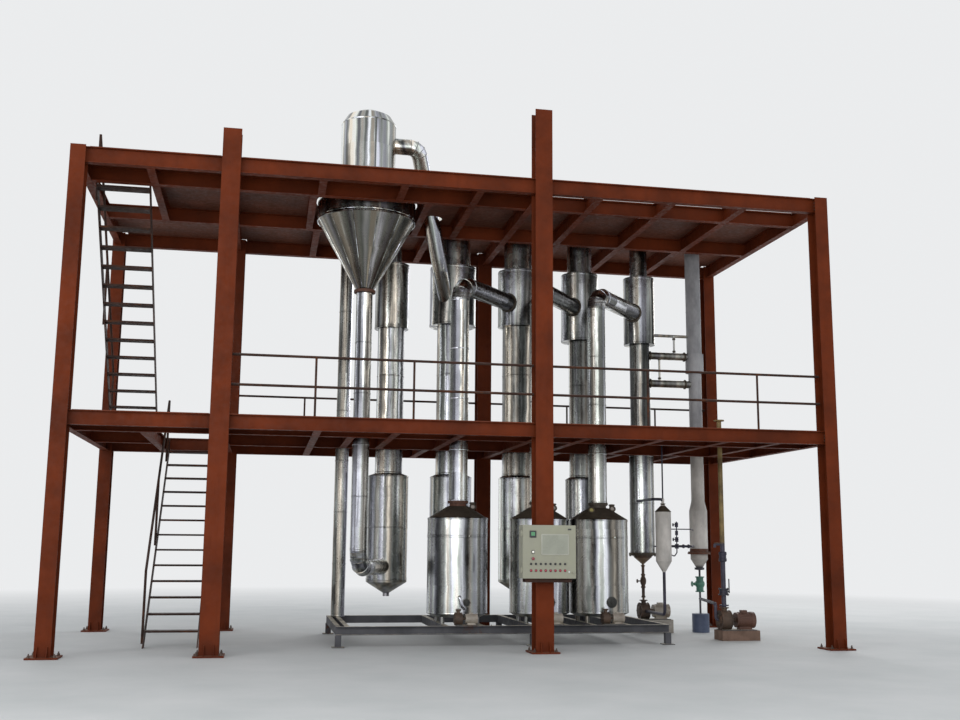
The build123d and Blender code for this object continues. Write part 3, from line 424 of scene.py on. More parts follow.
    def make(self, name: str, finish: "Finish", body: str = PLANT) -> None:
        """Makes the object: doubles are merged, faces point outwards, and edges past an angle stay sharp.

        Args:
            name: piece name.
            finish: gives its material.
            body: body that the piece rides on.
        """
        points = np.concatenate(self.points)
        quads = np.concatenate(self.quads)
        data = bpy.data.meshes.new(name)
        data.vertices.add(len(points))
        data.vertices.foreach_set("co", points.astype(np.float32).ravel())
        data.loops.add(quads.size)
        data.loops.foreach_set("vertex_index", quads.astype(np.int32).ravel())
        data.polygons.add(len(quads))
        data.polygons.foreach_set("loop_start", np.arange(0, quads.size, 4, dtype=np.int32))
        data.update(calc_edges=True)
        work = bmesh.new()
        work.from_mesh(data)
        bmesh.ops.remove_doubles(work, verts=work.verts, dist=WELD_DISTANCE)
        bmesh.ops.dissolve_degenerate(work, edges=work.edges, dist=WELD_DISTANCE)
        bmesh.ops.recalc_face_normals(work, faces=work.faces)
        for edge in work.edges:
            edge.smooth = edge.is_manifold and edge.calc_face_angle(0.0) < SHARP_ANGLE
        for face in work.faces:
            face.smooth = True
        work.to_mesh(data)
        work.free()
        data.materials.append(finish.material())
        piece = bpy.data.objects.new(name, data)
        bpy.context.scene.collection.objects.link(piece)
        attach(piece, body)
        LOG.info("%s: %d faces", name, len(data.polygons))


def hex_bolt(radius: float, length: float) -> Mesh:
    """Bolt head with its washer: a six-sided turned body on a round one, and a rounded end."""
    washer = Mesh().turn([(radius * 1.35, 0.0), (radius * 1.35, length * 0.2)], sides=10)
    return washer.turn([(radius, length * 0.2), (radius, length * 0.9), (radius * 0.85, length)], sides=6)


def stud_and_nut(radius: float, length: float) -> Mesh:
    """Stud end that stands out of its nut and washer."""
    end = [(radius * 0.55, length * 0.5), (radius * 0.55, length * 0.95), (radius * 0.45, length)]
    return hex_bolt(radius, length * 0.6).turn(end, sides=8)


def rivet(radius: float) -> Mesh:
    """Low round head of a rivet: an ellipse turned about its axis.

    Args:
        radius: radius of the head's foot.

    Returns:
        The head, pointing up.
    """
    angles = np.linspace(0.0, math.pi / 2, 4)
    profile = [(radius * math.cos(a), radius * 0.6 * math.sin(a)) for a in angles[:-1]]
    return Mesh().add(turned([*profile, (0.0, radius * 0.6)], (0, 0, 0), sides=8), wrap_u=True)


def weld_seam(inner: float, outer: float, height: float) -> Sequence[Point]:
    """Profile of a low weld seam: a strip whose edges slope to the wall."""
    low, high = height - 0.004, height + 0.004
    return [(inner, low - 0.002), (outer, low), (outer, high), (inner, high + 0.002)]


def union_nut(radius: float) -> Mesh:
    """Six-sided nut of a pipe union, with both its edges cut."""
    return Mesh().turn([(radius - 0.008, -0.02), (radius, -0.016), (radius, 0.016), (radius - 0.008, 0.02)],
                       sides=6)


# Finishes

class Graph:
    """Short calls for making and joining the nodes of one tree."""

    def __init__(self, tree: bpy.types.NodeTree) -> None:
        """Keeps the tree."""
        self.tree = tree

    def node(self, kind: str, given: Sequence[object] = (), **settings: object) -> bpy.types.Node:
        """Makes a node, sets its own properties, and feeds its first inputs in order.

        Args:
            kind: node type after ShaderNode.
            given: value or socket for each input; None leaves one as it is.
            settings: the node's own properties.

        Returns:
            The node.
        """
        made = self.tree.nodes.new(f"ShaderNode{kind}")
        for key, value in settings.items():
            setattr(made, key, value)
        for socket, value in zip(made.inputs, given):
            if value is not None:
                self.feed(socket, value)
        return made

    def feed(self, socket: bpy.types.NodeSocket, value: object) -> None:
        """Joins a socket to another one, or sets its value.

        Args:
            socket: input to feed.
            value: another socket, or the value to set.
        """
        if isinstance(value, bpy.types.NodeSocket):
            self.tree.links.new(value, socket)
        elif isinstance(value, tuple) and len(value) == 3 and socket.type == "RGBA":
            socket.default_value = (*value, 1.0)
        else:
            socket.default_value = value

    def feed_all(self, node: bpy.types.Node, values: dict[str, object]) -> None:
        """Joins or sets inputs by their names."""
        for name, value in values.items():
            self.feed(node.inputs[name], value)

    def noise(self, place: object, scale: float, detail: float = 3.0, rough: float = 0.55) -> object:
        """Noise between about 0.2 and 0.8 at a scale in cells a metre."""
        return self.node("TexNoise", (place, None, scale, detail, rough)).outputs["Fac"]

    def stretch(self, value: object, low: object, high: object, to_low: object = 0.0,
                to_high: object = 1.0) -> object:
        """Maps a range onto another one and clamps it."""
        return self.node("MapRange", (value, low, high, to_low, to_high), clamp=True).outputs["Result"]

    def math(self, kind: str, first: object, second: object = 0.0) -> object:
        """One step of arithmetic."""
        return self.node("Math", (first, second), operation=kind).outputs[0]

    def vector(self, kind: str, first: object, second: object = (0.0, 0.0, 0.0)) -> object:
        """One step of arithmetic on vectors."""
        return self.node("VectorMath", (first, second), operation=kind).outputs[0]

    def mix(self, share: object, first: object, second: object, kind: str = "MIX") -> object:
        """Mix of two colours."""
        given = (share, None, None, None, None, None, first, second)
        return self.node("Mix", given, data_type="RGBA", blend_type=kind).outputs[2]

    def part(self, place: object, number: int) -> object:
        """One of the three coordinates of a place."""
        return self.node("SeparateXYZ", (place,)).outputs[number]

    def ramp(self, share: object, stops: Sequence[tuple[float, Colour]]) -> object:
        """Colour that runs through stops, each a place from 0 to 1 and its colour.

        Args:
            share: place along the ramp.
            stops: place from 0 to 1 and colour of each stop.

        Returns:
            The colour.
        """
        made = self.node("ValToRGB", (share,))
        stop = made.color_ramp.elements[0]
        made.color_ramp.elements.remove(made.color_ramp.elements[1])
        for number, (spot, colour) in enumerate(stops):
            if number:
                stop = made.color_ramp.elements.new(spot)
            stop.position = spot
            stop.color = (*colour, 1.0)
        return made.outputs[0]

    def group(self, tree: bpy.types.NodeTree, **values: object) -> bpy.types.Node:
        """Places a group and sets or joins its inputs.

        Args:
            tree: group to place.
            values: value or socket for each named input.

        Returns:
            The node.
        """
        made = self.node("Group", node_tree=tree)
        self.feed_all(made, values)
        return made

    def object_place(self) -> object:
        """Place on the object in metres."""
        return self.node("TexCoord").outputs["Object"]


VECTOR = "NodeSocketVector"
NUMBER = "NodeSocketFloat"
Sockets = dict[str, object]


def effect(name: str, inputs: dict[str, str], outputs: Sequence[str],
           wire: Callable[[Graph, Sockets], Sockets]) -> bpy.types.NodeTree:
    """Makes a shader node group once.

    Args:
        name: group name.
        inputs: socket type of each input.
        outputs: names of its number outputs.
        wire: joins the inside, from the inputs to the outputs.

    Returns:
        The group.
    """
    known = bpy.data.node_groups.get(name)
    if known is not None:
        return known
    tree = bpy.data.node_groups.new(name, "ShaderNodeTree")
    for title, kind in inputs.items():
        tree.interface.new_socket(title, in_out="INPUT", socket_type=kind)
    for title in outputs:
        tree.interface.new_socket(title, in_out="OUTPUT", socket_type=NUMBER)
    graph = Graph(tree)
    entry, leave = tree.nodes.new("NodeGroupInput"), tree.nodes.new("NodeGroupOutput")
    graph.feed_all(leave, wire(graph, {title: entry.outputs[title] for title in inputs}))
    return tree


def grime_effect() -> bpy.types.NodeTree:
    """Patches of rust or dirt: two noises are added and cut off above a level set by the amount.

    Returns:
        The group.
    """

    def wire(graph: Graph, given: Sockets) -> Sockets:
        """Joins the patches' noises.

        Args:
            graph: tree to work in.
            given: the group's inputs by their names.

        Returns:
            The group's outputs by their names.
        """
        broad = graph.noise(given["Place"], given["Scale"], 4.0, 0.6)
        fine = graph.noise(given["Place"], graph.math("MULTIPLY", given["Scale"], 7.3), 5.0, 0.65)
        both = graph.math("ADD", graph.math("MULTIPLY", broad, 0.62), graph.math("MULTIPLY", fine, 0.38))
        level = graph.math("SUBTRACT", 0.78, graph.math("MULTIPLY", given["Amount"], 0.5))
        mask = graph.stretch(both, level, graph.math("ADD", level, 0.1))
        return {"Mask": mask, "Height": graph.math("MULTIPLY", mask, fine)}

    return effect("patches", {"Place": VECTOR, "Scale": NUMBER, "Amount": NUMBER}, ("Mask", "Height"), wire)


def painted_reflection_effect() -> bpy.types.NodeTree:
    """Painted reflections as bands along an axis: noise in three widths on a place shrunk along it, bent by
    slow creases.

    Returns:
        The group.
    """

    def wire(graph: Graph, given: Sockets) -> Sockets:
        """Joins the streaks' noises; each sheet of cladding shifts them by its own small amount.

        Args:
            graph: tree to work in.
            given: the group's inputs by their names.

        Returns:
            The group's outputs by their names.
        """
        place = given["Place"]
        sheet = graph.vector("SNAP", place, (1.2, 1.2, 0.97))
        shift = graph.node("TexWhiteNoise", (sheet,), noise_dimensions="3D")
        creases = graph.node("TexNoise", (graph.vector("MULTIPLY", place, (3.0, 3.0, 2.2)), None, 1.0, 2.0))
        moved = place
        for node, reach in ((shift, (0.018, 0.018, 0.6)), (creases, (0.055, 0.055, 0.0))):
            moved = graph.vector("ADD", moved, graph.vector("MULTIPLY", node.outputs["Color"], reach))
        along = graph.vector("PROJECT", moved, given["Axis"])
        across = graph.vector("SUBTRACT", moved, along)
        # Band level of the painted reflections, from dark bands to a near-white painted highlight.
        level = 0.0
        for pitch, slow, weight in ((4.2, 0.1, 0.5), (12.0, 0.16, 0.42), (34.0, 0.45, 0.08)):
            spot = graph.vector("ADD", graph.vector("MULTIPLY", across, (pitch,) * 3),
                                graph.vector("MULTIPLY", along, (slow,) * 3))
            band = graph.math("MULTIPLY", graph.noise(spot, 1.0, 0.5, 0.4), weight)
            level = graph.math("ADD", band, level)
        # Noise that picks the tint of the painted reflections.
        reflection_tint_noise = graph.noise(graph.vector("MULTIPLY", across, (6.5, 6.5, 6.5)), 1.0, 1.0, 0.5)
        return {"Light": graph.stretch(level, 0.32, 0.68), "Warm": graph.stretch(reflection_tint_noise, 0.32, 0.68),
                "Sheet": shift.outputs["Value"]}

    return effect("reflection_streaks", {"Place": VECTOR, "Axis": VECTOR}, ("Light", "Warm", "Sheet"), wire)


def wave_effect() -> bpy.types.NodeTree:
    """Slow waves of thin sheet, as a height: one noise, drawn out upwards.

    Returns:
        The group.
    """

    def wire(graph: Graph, given: Sockets) -> Sockets:
        """Joins the waves' noise."""
        drawn = graph.vector("MULTIPLY", given["Place"], (2.6, 2.6, 1.1))
        return {"Height": graph.noise(drawn, 1.0, 1.0, 0.4)}

    return effect("sheet_waves", {"Place": VECTOR}, ("Height",), wire)


def tread_effect() -> bpy.types.NodeTree:
    """Raised lozenges of a floor plate: two sets of sloping waves, each cut to short bars.

    Returns:
        The group.
    """

    def wire(graph: Graph, given: Sockets) -> Sockets:
        """Joins both sets of bars.

        Args:
            graph: tree to work in.
            given: the group's inputs by their names.

        Returns:
            The group's outputs by their names.
        """
        sloped = graph.node("VectorRotate", (given["Place"],), rotation_type="Z_AXIS")
        sloped.inputs["Angle"].default_value = math.radians(45)
        waves = graph.vector("MULTIPLY", sloped.outputs[0], (150.0, 150.0, 0.0))
        across, along = (graph.math("COSINE", graph.part(waves, number)) for number in (0, 1))
        bars = graph.math("ABSOLUTE", graph.math("SUBTRACT", across, along))
        return {"Height": graph.stretch(bars, 0.9, 1.6)}

    return effect("floor_plate", {"Place": VECTOR}, ("Height",), wire)


@dataclass(frozen=True)
class Finish:
    """Base of the finishes: a material's name and its slot in the record, made once for each name."""

    name: str
    slot: str

    def material(self) -> bpy.types.Material:
        """Makes the material at the first call, and finds it again at the others.

        Returns:
            The material.
        """
        known = bpy.data.materials.get(self.name)
        if known is not None:
            return known
        made = bpy.data.materials.new(self.name)
        made.use_nodes = True
        graph = Graph(made.node_tree)
        shader = made.node_tree.nodes["Principled BSDF"]
        self.wire(graph, shader, graph.object_place())
        return made

    def wire(self, graph: Graph, shader: bpy.types.Node, place: object) -> None:
        """Joins the finish's own nodes to the shader."""
        raise NotImplementedError

    @staticmethod
    def bump(graph: Graph, shader: bpy.types.Node, height: object, distance: float, strength: float) -> None:
        """Turns a height into the shader's normal.

        Args:
            graph: tree to work in.
            shader: Principled shader.
            height: number from 0 to 1.
            distance: depth in metres of a height of 1.
            strength: share of the effect.
        """
        made = graph.node("Bump")
        graph.feed_all(made, {"Strength": strength, "Distance": distance, "Height": height})
        graph.feed(shader.inputs["Normal"], made.outputs["Normal"])


@dataclass(frozen=True)
class Paint(Finish):
    """Brushed paint on rolled steel: cloudy colour, rust patches, and a pale dusting on what faces up, which
    on the skid and stair steel also stands for painted light on their lit top faces.
    """

    colour: Colour
    dark: Colour
    rust: Colour = (0.1, 0.035, 0.015)
    dust_and_top_light: Colour = (0.3, 0.22, 0.16)
    rust_amount: float = 0.35
    dust_and_top_light_amount: float = 0.55
    cloud_scale: float = 1.3
    rough: float = 0.55
    sheen: float = 0.1
    plate_pattern: bool = False

    def wire(self, graph: Graph, shader: bpy.types.Node, place: object) -> None:
        """Joins clouds, rust, and the pale dusting on upward faces, partly painted light on lit tops.

        Args:
            graph: tree to work in.
            shader: Principled shader.
            place: place on the piece in metres.
        """
        clouds = graph.stretch(graph.noise(place, self.cloud_scale, 5.0, 0.6), 0.35, 0.66)
        runs = graph.noise(graph.vector("MULTIPLY", place, (9.0, 9.0, 0.7)), 1.0, 3.0, 0.6)
        base = graph.mix(clouds, self.colour, self.dark)
        base = graph.mix(graph.stretch(runs, 0.52, 0.78, 0.0, 0.45), base, self.dark)
        patches = graph.group(grime_effect(), Place=place, Scale=2.3, Amount=self.rust_amount)
        base = graph.mix(graph.math("MULTIPLY", patches.outputs["Mask"], 0.8), base, self.rust)
        # Pale on upward faces: a dusting, and on the skid and stairs also painted light on their lit tops.
        lying = graph.stretch(graph.part(graph.node("NewGeometry").outputs["Normal"], UPRIGHT), 0.55, 0.95)
        dust_and_top_light_noise = graph.stretch(graph.noise(place, 6.0, 5.0, 0.7), 0.3, 0.62, 0.0, self.dust_and_top_light_amount)
        base = graph.mix(graph.math("MULTIPLY", lying, dust_and_top_light_noise), base, self.dust_and_top_light)
        rough = graph.stretch(graph.noise(place, 14.0, 3.0), 0.3, 0.7, self.rough - 0.12, self.rough + 0.2)
        graph.feed_all(shader, {"Base Color": base, "Specular IOR Level": self.sheen, "Roughness": rough})
        grain = graph.noise(place, 90.0, 3.0, 0.6)
        height = graph.math("ADD", graph.math("MULTIPLY", grain, 0.35), patches.outputs["Height"])
        if self.plate_pattern:
            lozenges = graph.group(tread_effect(), Place=place)
            height = graph.math("ADD", height, graph.math("MULTIPLY", lozenges.outputs["Height"], 1.6))
        self.bump(graph, shader, height, 0.0012, 0.7)


@dataclass(frozen=True)
class Turn:
    """Change of a pipe's direction: its streaks follow a second axis past a level."""

    axis: Triple
    start: float
    full: float


@dataclass(frozen=True)
class Sheet(Finish):
    """Bright rolled sheet over insulation: painted reflections in bands that follow the sheet, painted shade
    between the floors, each sheet a little different.
    """

    # Painted reflections: dark to light bands up to a near-white painted highlight.
    stops: Stops = ((0.12, 0.07), (0.18, 0.17), (0.32, 0.24), (0.36, 0.38), (0.58, 0.46), (0.62, 0.6),
                    (0.7, 0.68), (0.74, 0.98))
    # Darker bands used between the floors: painted shade.
    painted_shade_stops: Stops = ((0.14, 0.03), (0.2, 0.06), (0.35, 0.08), (0.39, 0.155), (0.6, 0.21), (0.63, 0.38),
                         (0.68, 0.44), (0.72, 0.98))
    tone: Colour = (1.0, 0.995, 0.985)
    # Tint of the painted reflections, picked by a second noise.
    reflection_tints: tuple[tuple[float, Colour], ...] = (
        (0.1, (0.86, 0.88, 1.0)), (0.38, (0.93, 0.96, 1.0)), (0.52, (0.93, 1.0, 0.93)),
        (0.66, (1.0, 0.99, 0.95)), (0.92, (1.0, 0.91, 0.78)))
    stain: Colour = (0.2, 0.17, 0.13)
    stain_amount: float = 0.12
    rough: float = 0.2
    wave: float = 0.0035
    axis: Triple = (0.0, 0.0, 1.0)
    turn: Turn | None = None
    hub: tuple[float, float] | None = None
    shift: float = 0.0

    def round_place(self, graph: Graph, place: object) -> object:
        """Place whose level part is pushed to one distance from the hub, so that streaks follow gores.

        Args:
            graph: tree to work in.
            place: place on the piece in metres.

        Returns:
            The pushed place.
        """
        level = graph.vector("MULTIPLY", graph.vector("SUBTRACT", place, (*self.hub, 0.0)), (1.0, 1.0, 0.0))
        pushed = graph.vector("MULTIPLY", graph.vector("NORMALIZE", level), (0.62, 0.62, 0.62))
        return graph.vector("ADD", pushed, graph.vector("MULTIPLY", place, (0.0, 0.0, 1.0)))

    def wire(self, graph: Graph, shader: bpy.types.Node, place: object) -> None:
        """Joins the painted reflection bands, darker between the floors than below and above them as painted
        shade, their painted reflection tint, stains and waves.

        Args:
            graph: tree to work in.
            shader: Principled shader.
            place: place on the piece in metres.
        """
        spot = place if self.hub is None else self.round_place(graph, place)
        if self.shift:
            spot = graph.vector("ADD", spot, (self.shift, 0.4 * self.shift, 0.0))
        height = graph.part(place, UPRIGHT)
        axis: object = self.axis
        if self.turn is not None:
            share = graph.stretch(height, self.turn.start, self.turn.full)
            axis = graph.mix(share, self.axis, self.turn.axis)
        reflection_streaks = graph.group(painted_reflection_effect(), Place=spot, Axis=axis)
        low, high = (
            graph.ramp(reflection_streaks.outputs["Light"],
                       [(where, tuple(light * part for part in self.tone)) for where, light in stops])
            for stops in (self.stops, self.painted_shade_stops))
        # Painted shade between the floors: the darker set comes in from 3.2 m to 4.2 m and fades back out
        # from 5.6 m to 6.9 m.
        shade = graph.stretch(height, 5.6, 6.9, 1.0, 0.15)
        base = graph.mix(graph.math("MULTIPLY", graph.stretch(height, 3.2, 4.2), shade), low, high)
        # Painted reflection tint.
        base = graph.mix(1.0, base, graph.ramp(reflection_streaks.outputs["Warm"], self.reflection_tints), "MULTIPLY")
        sheet = graph.stretch(reflection_streaks.outputs["Sheet"], 0.0, 1.0, 0.0, 0.16)
        base = graph.mix(sheet, base, (0.045, 0.045, 0.048))
        patches = graph.group(grime_effect(), Place=place, Scale=1.9, Amount=self.stain_amount)
        base = graph.mix(graph.math("MULTIPLY", patches.outputs["Mask"], 0.6), base, self.stain)
        rough = graph.stretch(graph.noise(place, 5.0, 2.0), 0.3, 0.7, self.rough, self.rough + 0.12)
        rough = graph.math("ADD", rough, graph.math("MULTIPLY", patches.outputs["Mask"], 0.25))
        graph.feed_all(shader, {"Base Color": base, "Metallic": 1.0, "Roughness": rough})
        self.bump(graph, shader, graph.group(wave_effect(), Place=place).outputs["Height"], self.wave, 0.9)


@dataclass(frozen=True)
class Zone:
    """Part of a piece in another colour, which blends in between two places along one axis; on the pale coat
    that colour is painted light below the lower floor.
    """

    axis: int
    start: float
    full: float
    colour: Colour


@dataclass(frozen=True)
class Coat(Finish):
    """Plain coat or bare casting: two tones in clouds, spots of rust or dirt, fine grain."""

    colour: Colour
    second: Colour
    spot: Colour = (0.16, 0.08, 0.05)
    spot_amount: float = 0.25
    cloud_scale: float = 4.0
    rough: float = 0.5
    metal: float = 0.0
    grain: float = 0.0008
    grain_scale: float = 70.0
    upright: float = 1.0
    zone: Zone | None = None

    def wire(self, graph: Graph, shader: bpy.types.Node, place: object) -> None:
        """Joins clouds, spots and grain.

        Args:
            graph: tree to work in.
            shader: Principled shader.
            place: place on the piece in metres.
        """
        drawn = graph.vector("MULTIPLY", place, (1.0, 1.0, self.upright))
        clouds = graph.stretch(graph.noise(drawn, self.cloud_scale, 5.0, 0.62), 0.36, 0.64)
        base = graph.mix(clouds, self.colour, self.second)
        # A zone's colour blends in; on the pale coat it is painted light below the lower floor, and the
        # darker colour above it painted shade.
        if self.zone is not None:
            share = graph.stretch(graph.part(place, self.zone.axis), self.zone.start, self.zone.full)
            cloudy = graph.mix(clouds, self.zone.colour, tuple(0.6 * part for part in self.zone.colour))
            base = graph.mix(share, base, cloudy)
        patches = graph.group(grime_effect(), Place=place, Scale=4.2, Amount=self.spot_amount)
        base = graph.mix(graph.math("MULTIPLY", patches.outputs["Mask"], 0.75), base, self.spot)
        rough = graph.stretch(graph.noise(place, 18.0, 3.0), 0.3, 0.7, self.rough - 0.1, self.rough + 0.16)
        graph.feed_all(shader, {"Base Color": base, "Metallic": self.metal, "Roughness": rough})
        grain = graph.noise(place, self.grain_scale, 4.0, 0.6)
        height = graph.math("ADD", grain, patches.outputs["Height"])
        self.bump(graph, shader, height, self.grain, 0.8)


@dataclass(frozen=True)
class Lens(Finish):
    """Lamp, screen or sight glass: smooth coloured cover with faint smears and a little of its own light."""

    colour: Colour
    glow: float = 0.0
    rough: float = 0.12

    def wire(self, graph: Graph, shader: bpy.types.Node, place: object) -> None:
        """Joins the smears.

        Args:
            graph: tree to work in.
            shader: Principled shader.
            place: place on the piece in metres.
        """
        smear = graph.noise(place, 7.0, 1.5)
        darker = tuple(0.86 * part for part in self.colour)
        base = graph.mix(graph.stretch(smear, 0.35, 0.7), self.colour, darker)
        rough = graph.stretch(smear, 0.3, 0.7, self.rough, self.rough + 0.15)
        graph.feed_all(shader, {"Base Color": base, "Roughness": rough, "Coat Weight": 0.4})
        if self.glow > 0:
            graph.feed_all(shader, {"Emission Color": base, "Emission Strength": self.glow})


CABINET_SLOT = "cabinet_paint"
RED_STEEL = Paint("red_oxide_paint", "red_oxide_steel", (0.156, 0.029, 0.008), (0.088, 0.018, 0.006),
                  rust_amount=0.28)
DECK = Paint("deck_plate_paint", "deck_plate", (0.19, 0.072, 0.045), (0.105, 0.046, 0.032),
             rust_amount=0.45, dust_and_top_light_amount=0.75, plate_pattern=True)
# Its pale upward faces are partly a dusting and partly painted highlights on the treads.
DARK_STEEL = Paint("dark_stair_paint", "dark_steel", (0.06, 0.03, 0.022), (0.028, 0.018, 0.015),
                   rust_amount=0.5, dust_and_top_light_amount=0.8, dust_and_top_light=(0.34, 0.3, 0.28))
CLADDING = Sheet("bright_cladding", "clad_sheet")
HIGH_AXIS = (GRID.high_x, GRID.separator_y)
# Painted reflections on the cone's gores, the same set below and between the floors.
CONE_TONES = ((0.1, 0.076), (0.35, 0.163), (0.6, 0.247), (0.76, 0.345), (0.88, 0.76))
CONE_SHEET = Sheet("cone_gores", "clad_sheet", CONE_TONES, CONE_TONES, (1.0, 0.94, 0.85), hub=HIGH_AXIS)
ROUND_SHEET = Sheet("high_separator_sheet", "clad_sheet", hub=HIGH_AXIS)
SLOPED_SHEET = Sheet("sloped_duct_sheet", "clad_sheet", axis=(0.735, 1.3, -2.38))
RISER_SHEET = Sheet("riser_sheet", "clad_sheet", turn=Turn((1.0, 0.0, 0.0), 7.0, 7.12))
DOWNPIPE_SHEET = Sheet("downpipe_sheet", "clad_sheet", turn=Turn((0.675, 1.65, 0.0), 1.5, 1.4))
DUCT_SHIFTS = (4.4, 1.9, 0.0)
DUCT_SHEETS = tuple(
    Sheet(f"duct_sheet_{number}", "clad_sheet", shift=DUCT_SHIFTS[number - 1],
          turn=Turn((goal - start, GRID.calandria_y - GRID.separator_y, 0.0), 6.02, 6.16))
    for number, start, goal in zip((1, 2, 3), GRID.separator_x, (*GRID.calandria_x[2:], GRID.condenser_x))
)
# Its second, darker set is painted shade between the floors.
STAINLESS = Sheet("bare_stainless_plate", "bare_stainless", ((0.15, 0.17), (0.5, 0.34), (0.85, 0.56)),
                  ((0.15, 0.12), (0.5, 0.26), (0.85, 0.5)), (1.0, 0.96, 0.9), stain_amount=0.3, rough=0.32)
BRIGHT_TUBE = Sheet("polished_tube", "clad_sheet", ((0.2, 0.62), (0.8, 0.95)), stain_amount=0.05)
DISH = Coat("rusted_dish", "bare_stainless", (0.25, 0.175, 0.11), (0.13, 0.085, 0.052), spot_amount=0.4,
            metal=0.3)
ROOF = Coat("dull_roof_sheet", "roof_steel", (0.105, 0.084, 0.06), (0.06, 0.048, 0.036), (0.15, 0.09, 0.05),
            0.3, 3.0, 0.55, 0.35)
# Lighter below the lower floor than above it: painted light below, painted shade above.
PALE = Coat("pale_mottled_coat", "pale_vessel", (0.36, 0.36, 0.37), (0.2, 0.2, 0.21), (0.22, 0.13, 0.09),
            0.28, 2.6, 0.6, 0.0, upright=0.5, zone=Zone(2, 3.75, 3.45, (0.74, 0.7, 0.65)))
CONE_COAT = Coat("pale_cone_coat", "pale_vessel", (0.56, 0.52, 0.48), (0.38, 0.35, 0.32), (0.22, 0.13, 0.09),
                 0.35, 3.5, 0.6, zone=Zone(2, 1.3, 1.24, (0.075, 0.07, 0.085)))
GREEN = Coat("green_casting", "green_valve", (0.1, 0.27, 0.19), (0.05, 0.14, 0.11), rough=0.45)
POT = Coat("blue_grey_pot", "seal_pot_paint", (0.085, 0.11, 0.18), (0.055, 0.07, 0.12))
DARK_PIPE = Coat("dark_pipe_steel", "dark_pipe", (0.05, 0.045, 0.075), (0.025, 0.024, 0.035), rough=0.45,
                 metal=0.3)
# Its very pale top faces are partly a dusting and partly painted light on the lit flanges.
SKID = Paint("skid_channel_paint", "skid_steel", (0.112, 0.112, 0.122), (0.06, 0.06, 0.066),
             rust_amount=0.38, dust_and_top_light_amount=1.0, dust_and_top_light=(0.66, 0.6, 0.47))
IRON = Coat("pump_casting", "pump_iron", (0.125, 0.078, 0.052), (0.062, 0.044, 0.034), rough=0.6, metal=0.25,
            spot_amount=0.45, grain=0.002)
MOTOR = Coat("motor_enamel", "motor_paint", (0.44, 0.4, 0.34), (0.28, 0.24, 0.2), spot_amount=0.4, rough=0.45,
             zone=Zone(0, 4.9, 4.95, (0.13, 0.06, 0.04)))
CONCRETE = Coat("cast_concrete", "concrete", (0.42, 0.39, 0.34), (0.27, 0.24, 0.21), (0.2, 0.13, 0.09),
                0.3, 5.0, 0.85, 0.0, 0.004, 45.0, zone=Zone(0, 4.85, 4.93, (0.2, 0.125, 0.09)))
YELLOW = Coat("worn_yellow_paint", "yellow_line", (0.3, 0.21, 0.075), (0.12, 0.078, 0.026),
              (0.09, 0.06, 0.05), 0.4, 5.0, 0.55, zone=Zone(2, 1.74, 1.7, (0.058, 0.052, 0.08)))
PORT = Coat("dark_port_cover", "roof_steel", (0.05, 0.052, 0.046), (0.028, 0.028, 0.026), spot_amount=0.2,
            cloud_scale=9.0, metal=0.2)
RUST = Coat("rusted_flange", "roof_steel", (0.155, 0.062, 0.036), (0.08, 0.036, 0.024), rough=0.7,
            grain=0.0015)
CABINET = Coat("beige_cabinet_coat", CABINET_SLOT, (0.335, 0.335, 0.245), (0.32, 0.315, 0.245),
               (0.24, 0.21, 0.16), 0.12, 3.0, 0.42, grain=0.0003, grain_scale=320.0)
BLACK = Coat("black_moulding", CABINET_SLOT, (0.022, 0.022, 0.026), (0.035, 0.035, 0.04), spot_amount=0.1,
             rough=0.4)
BOLT = Coat("bolt_steel", "dark_steel", (0.16, 0.12, 0.1), (0.08, 0.055, 0.045), rough=0.45, metal=0.6)

NODE_FINISHES: dict[Finish, tuple[str, ...]] = {
    RED_STEEL: ("front_columns", "rear_columns",
                *(f"{floor}_{beam}" for floor in ("lower", "upper")
                  for beam in ("front_beam", "rear_beam", "inner_beams", "cross_beams"))),
    DECK: ("lower_deck", "upper_deck"),
    DARK_STEEL: ("deck_handrails", "stair_stringers", "stair_treads", "stair_handrails"),
    CLADDING: (*(f"calandria_{number}" for number in range(1, 5)), "calandria_heads", "condenser",
               "condenser_heads", *(f"separator_{number}" for number in range(1, 4)), "crossover_ducts"),
    ROUND_SHEET: ("high_separator", "high_separator_roof"),
    RISER_SHEET: ("product_riser",),
    DOWNPIPE_SHEET: ("high_separator_downpipe",),
    CONE_SHEET: ("high_separator_cone",),
    SLOPED_SHEET: ("vapour_duct_0",),
    **{sheet: (f"vapour_duct_{number + 1}",) for number, sheet in enumerate(DUCT_SHEETS)},
    STAINLESS: ("calandria_bottoms", "separator_bottoms", "cross_pipes"),
    DISH: ("condenser_bottom",),
    ROOF: ("separator_roofs",),
    PALE: ("vent_condenser", "receiver"),
    CONE_COAT: ("vent_cone",),
    GREEN: ("drain_valve",),
    POT: ("seal_pot",),
    DARK_PIPE: ("receiver_pipes", "ball_valve", "valve_lever"),
    SKID: ("skid_frame", "skid_feet", "pump_bases"),
    IRON: ("pump_casings",),
    MOTOR: ("pump_motors",),
    CONCRETE: ("pump_plinths",),
    YELLOW: ("vacuum_line",),
    CABINET: ("control_cabinet", "cabinet_door"),
}


def dress_nodes() -> None:
    """Gives each node of the frame its finish."""
    for finish, names in NODE_FINISHES.items():
        for name in names:
            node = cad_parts[name]
            node.data.materials.clear()
            node.data.materials.append(finish.material())
            LOG.info("%s dressed in %s", name, finish.name)


# Sub-assemblies

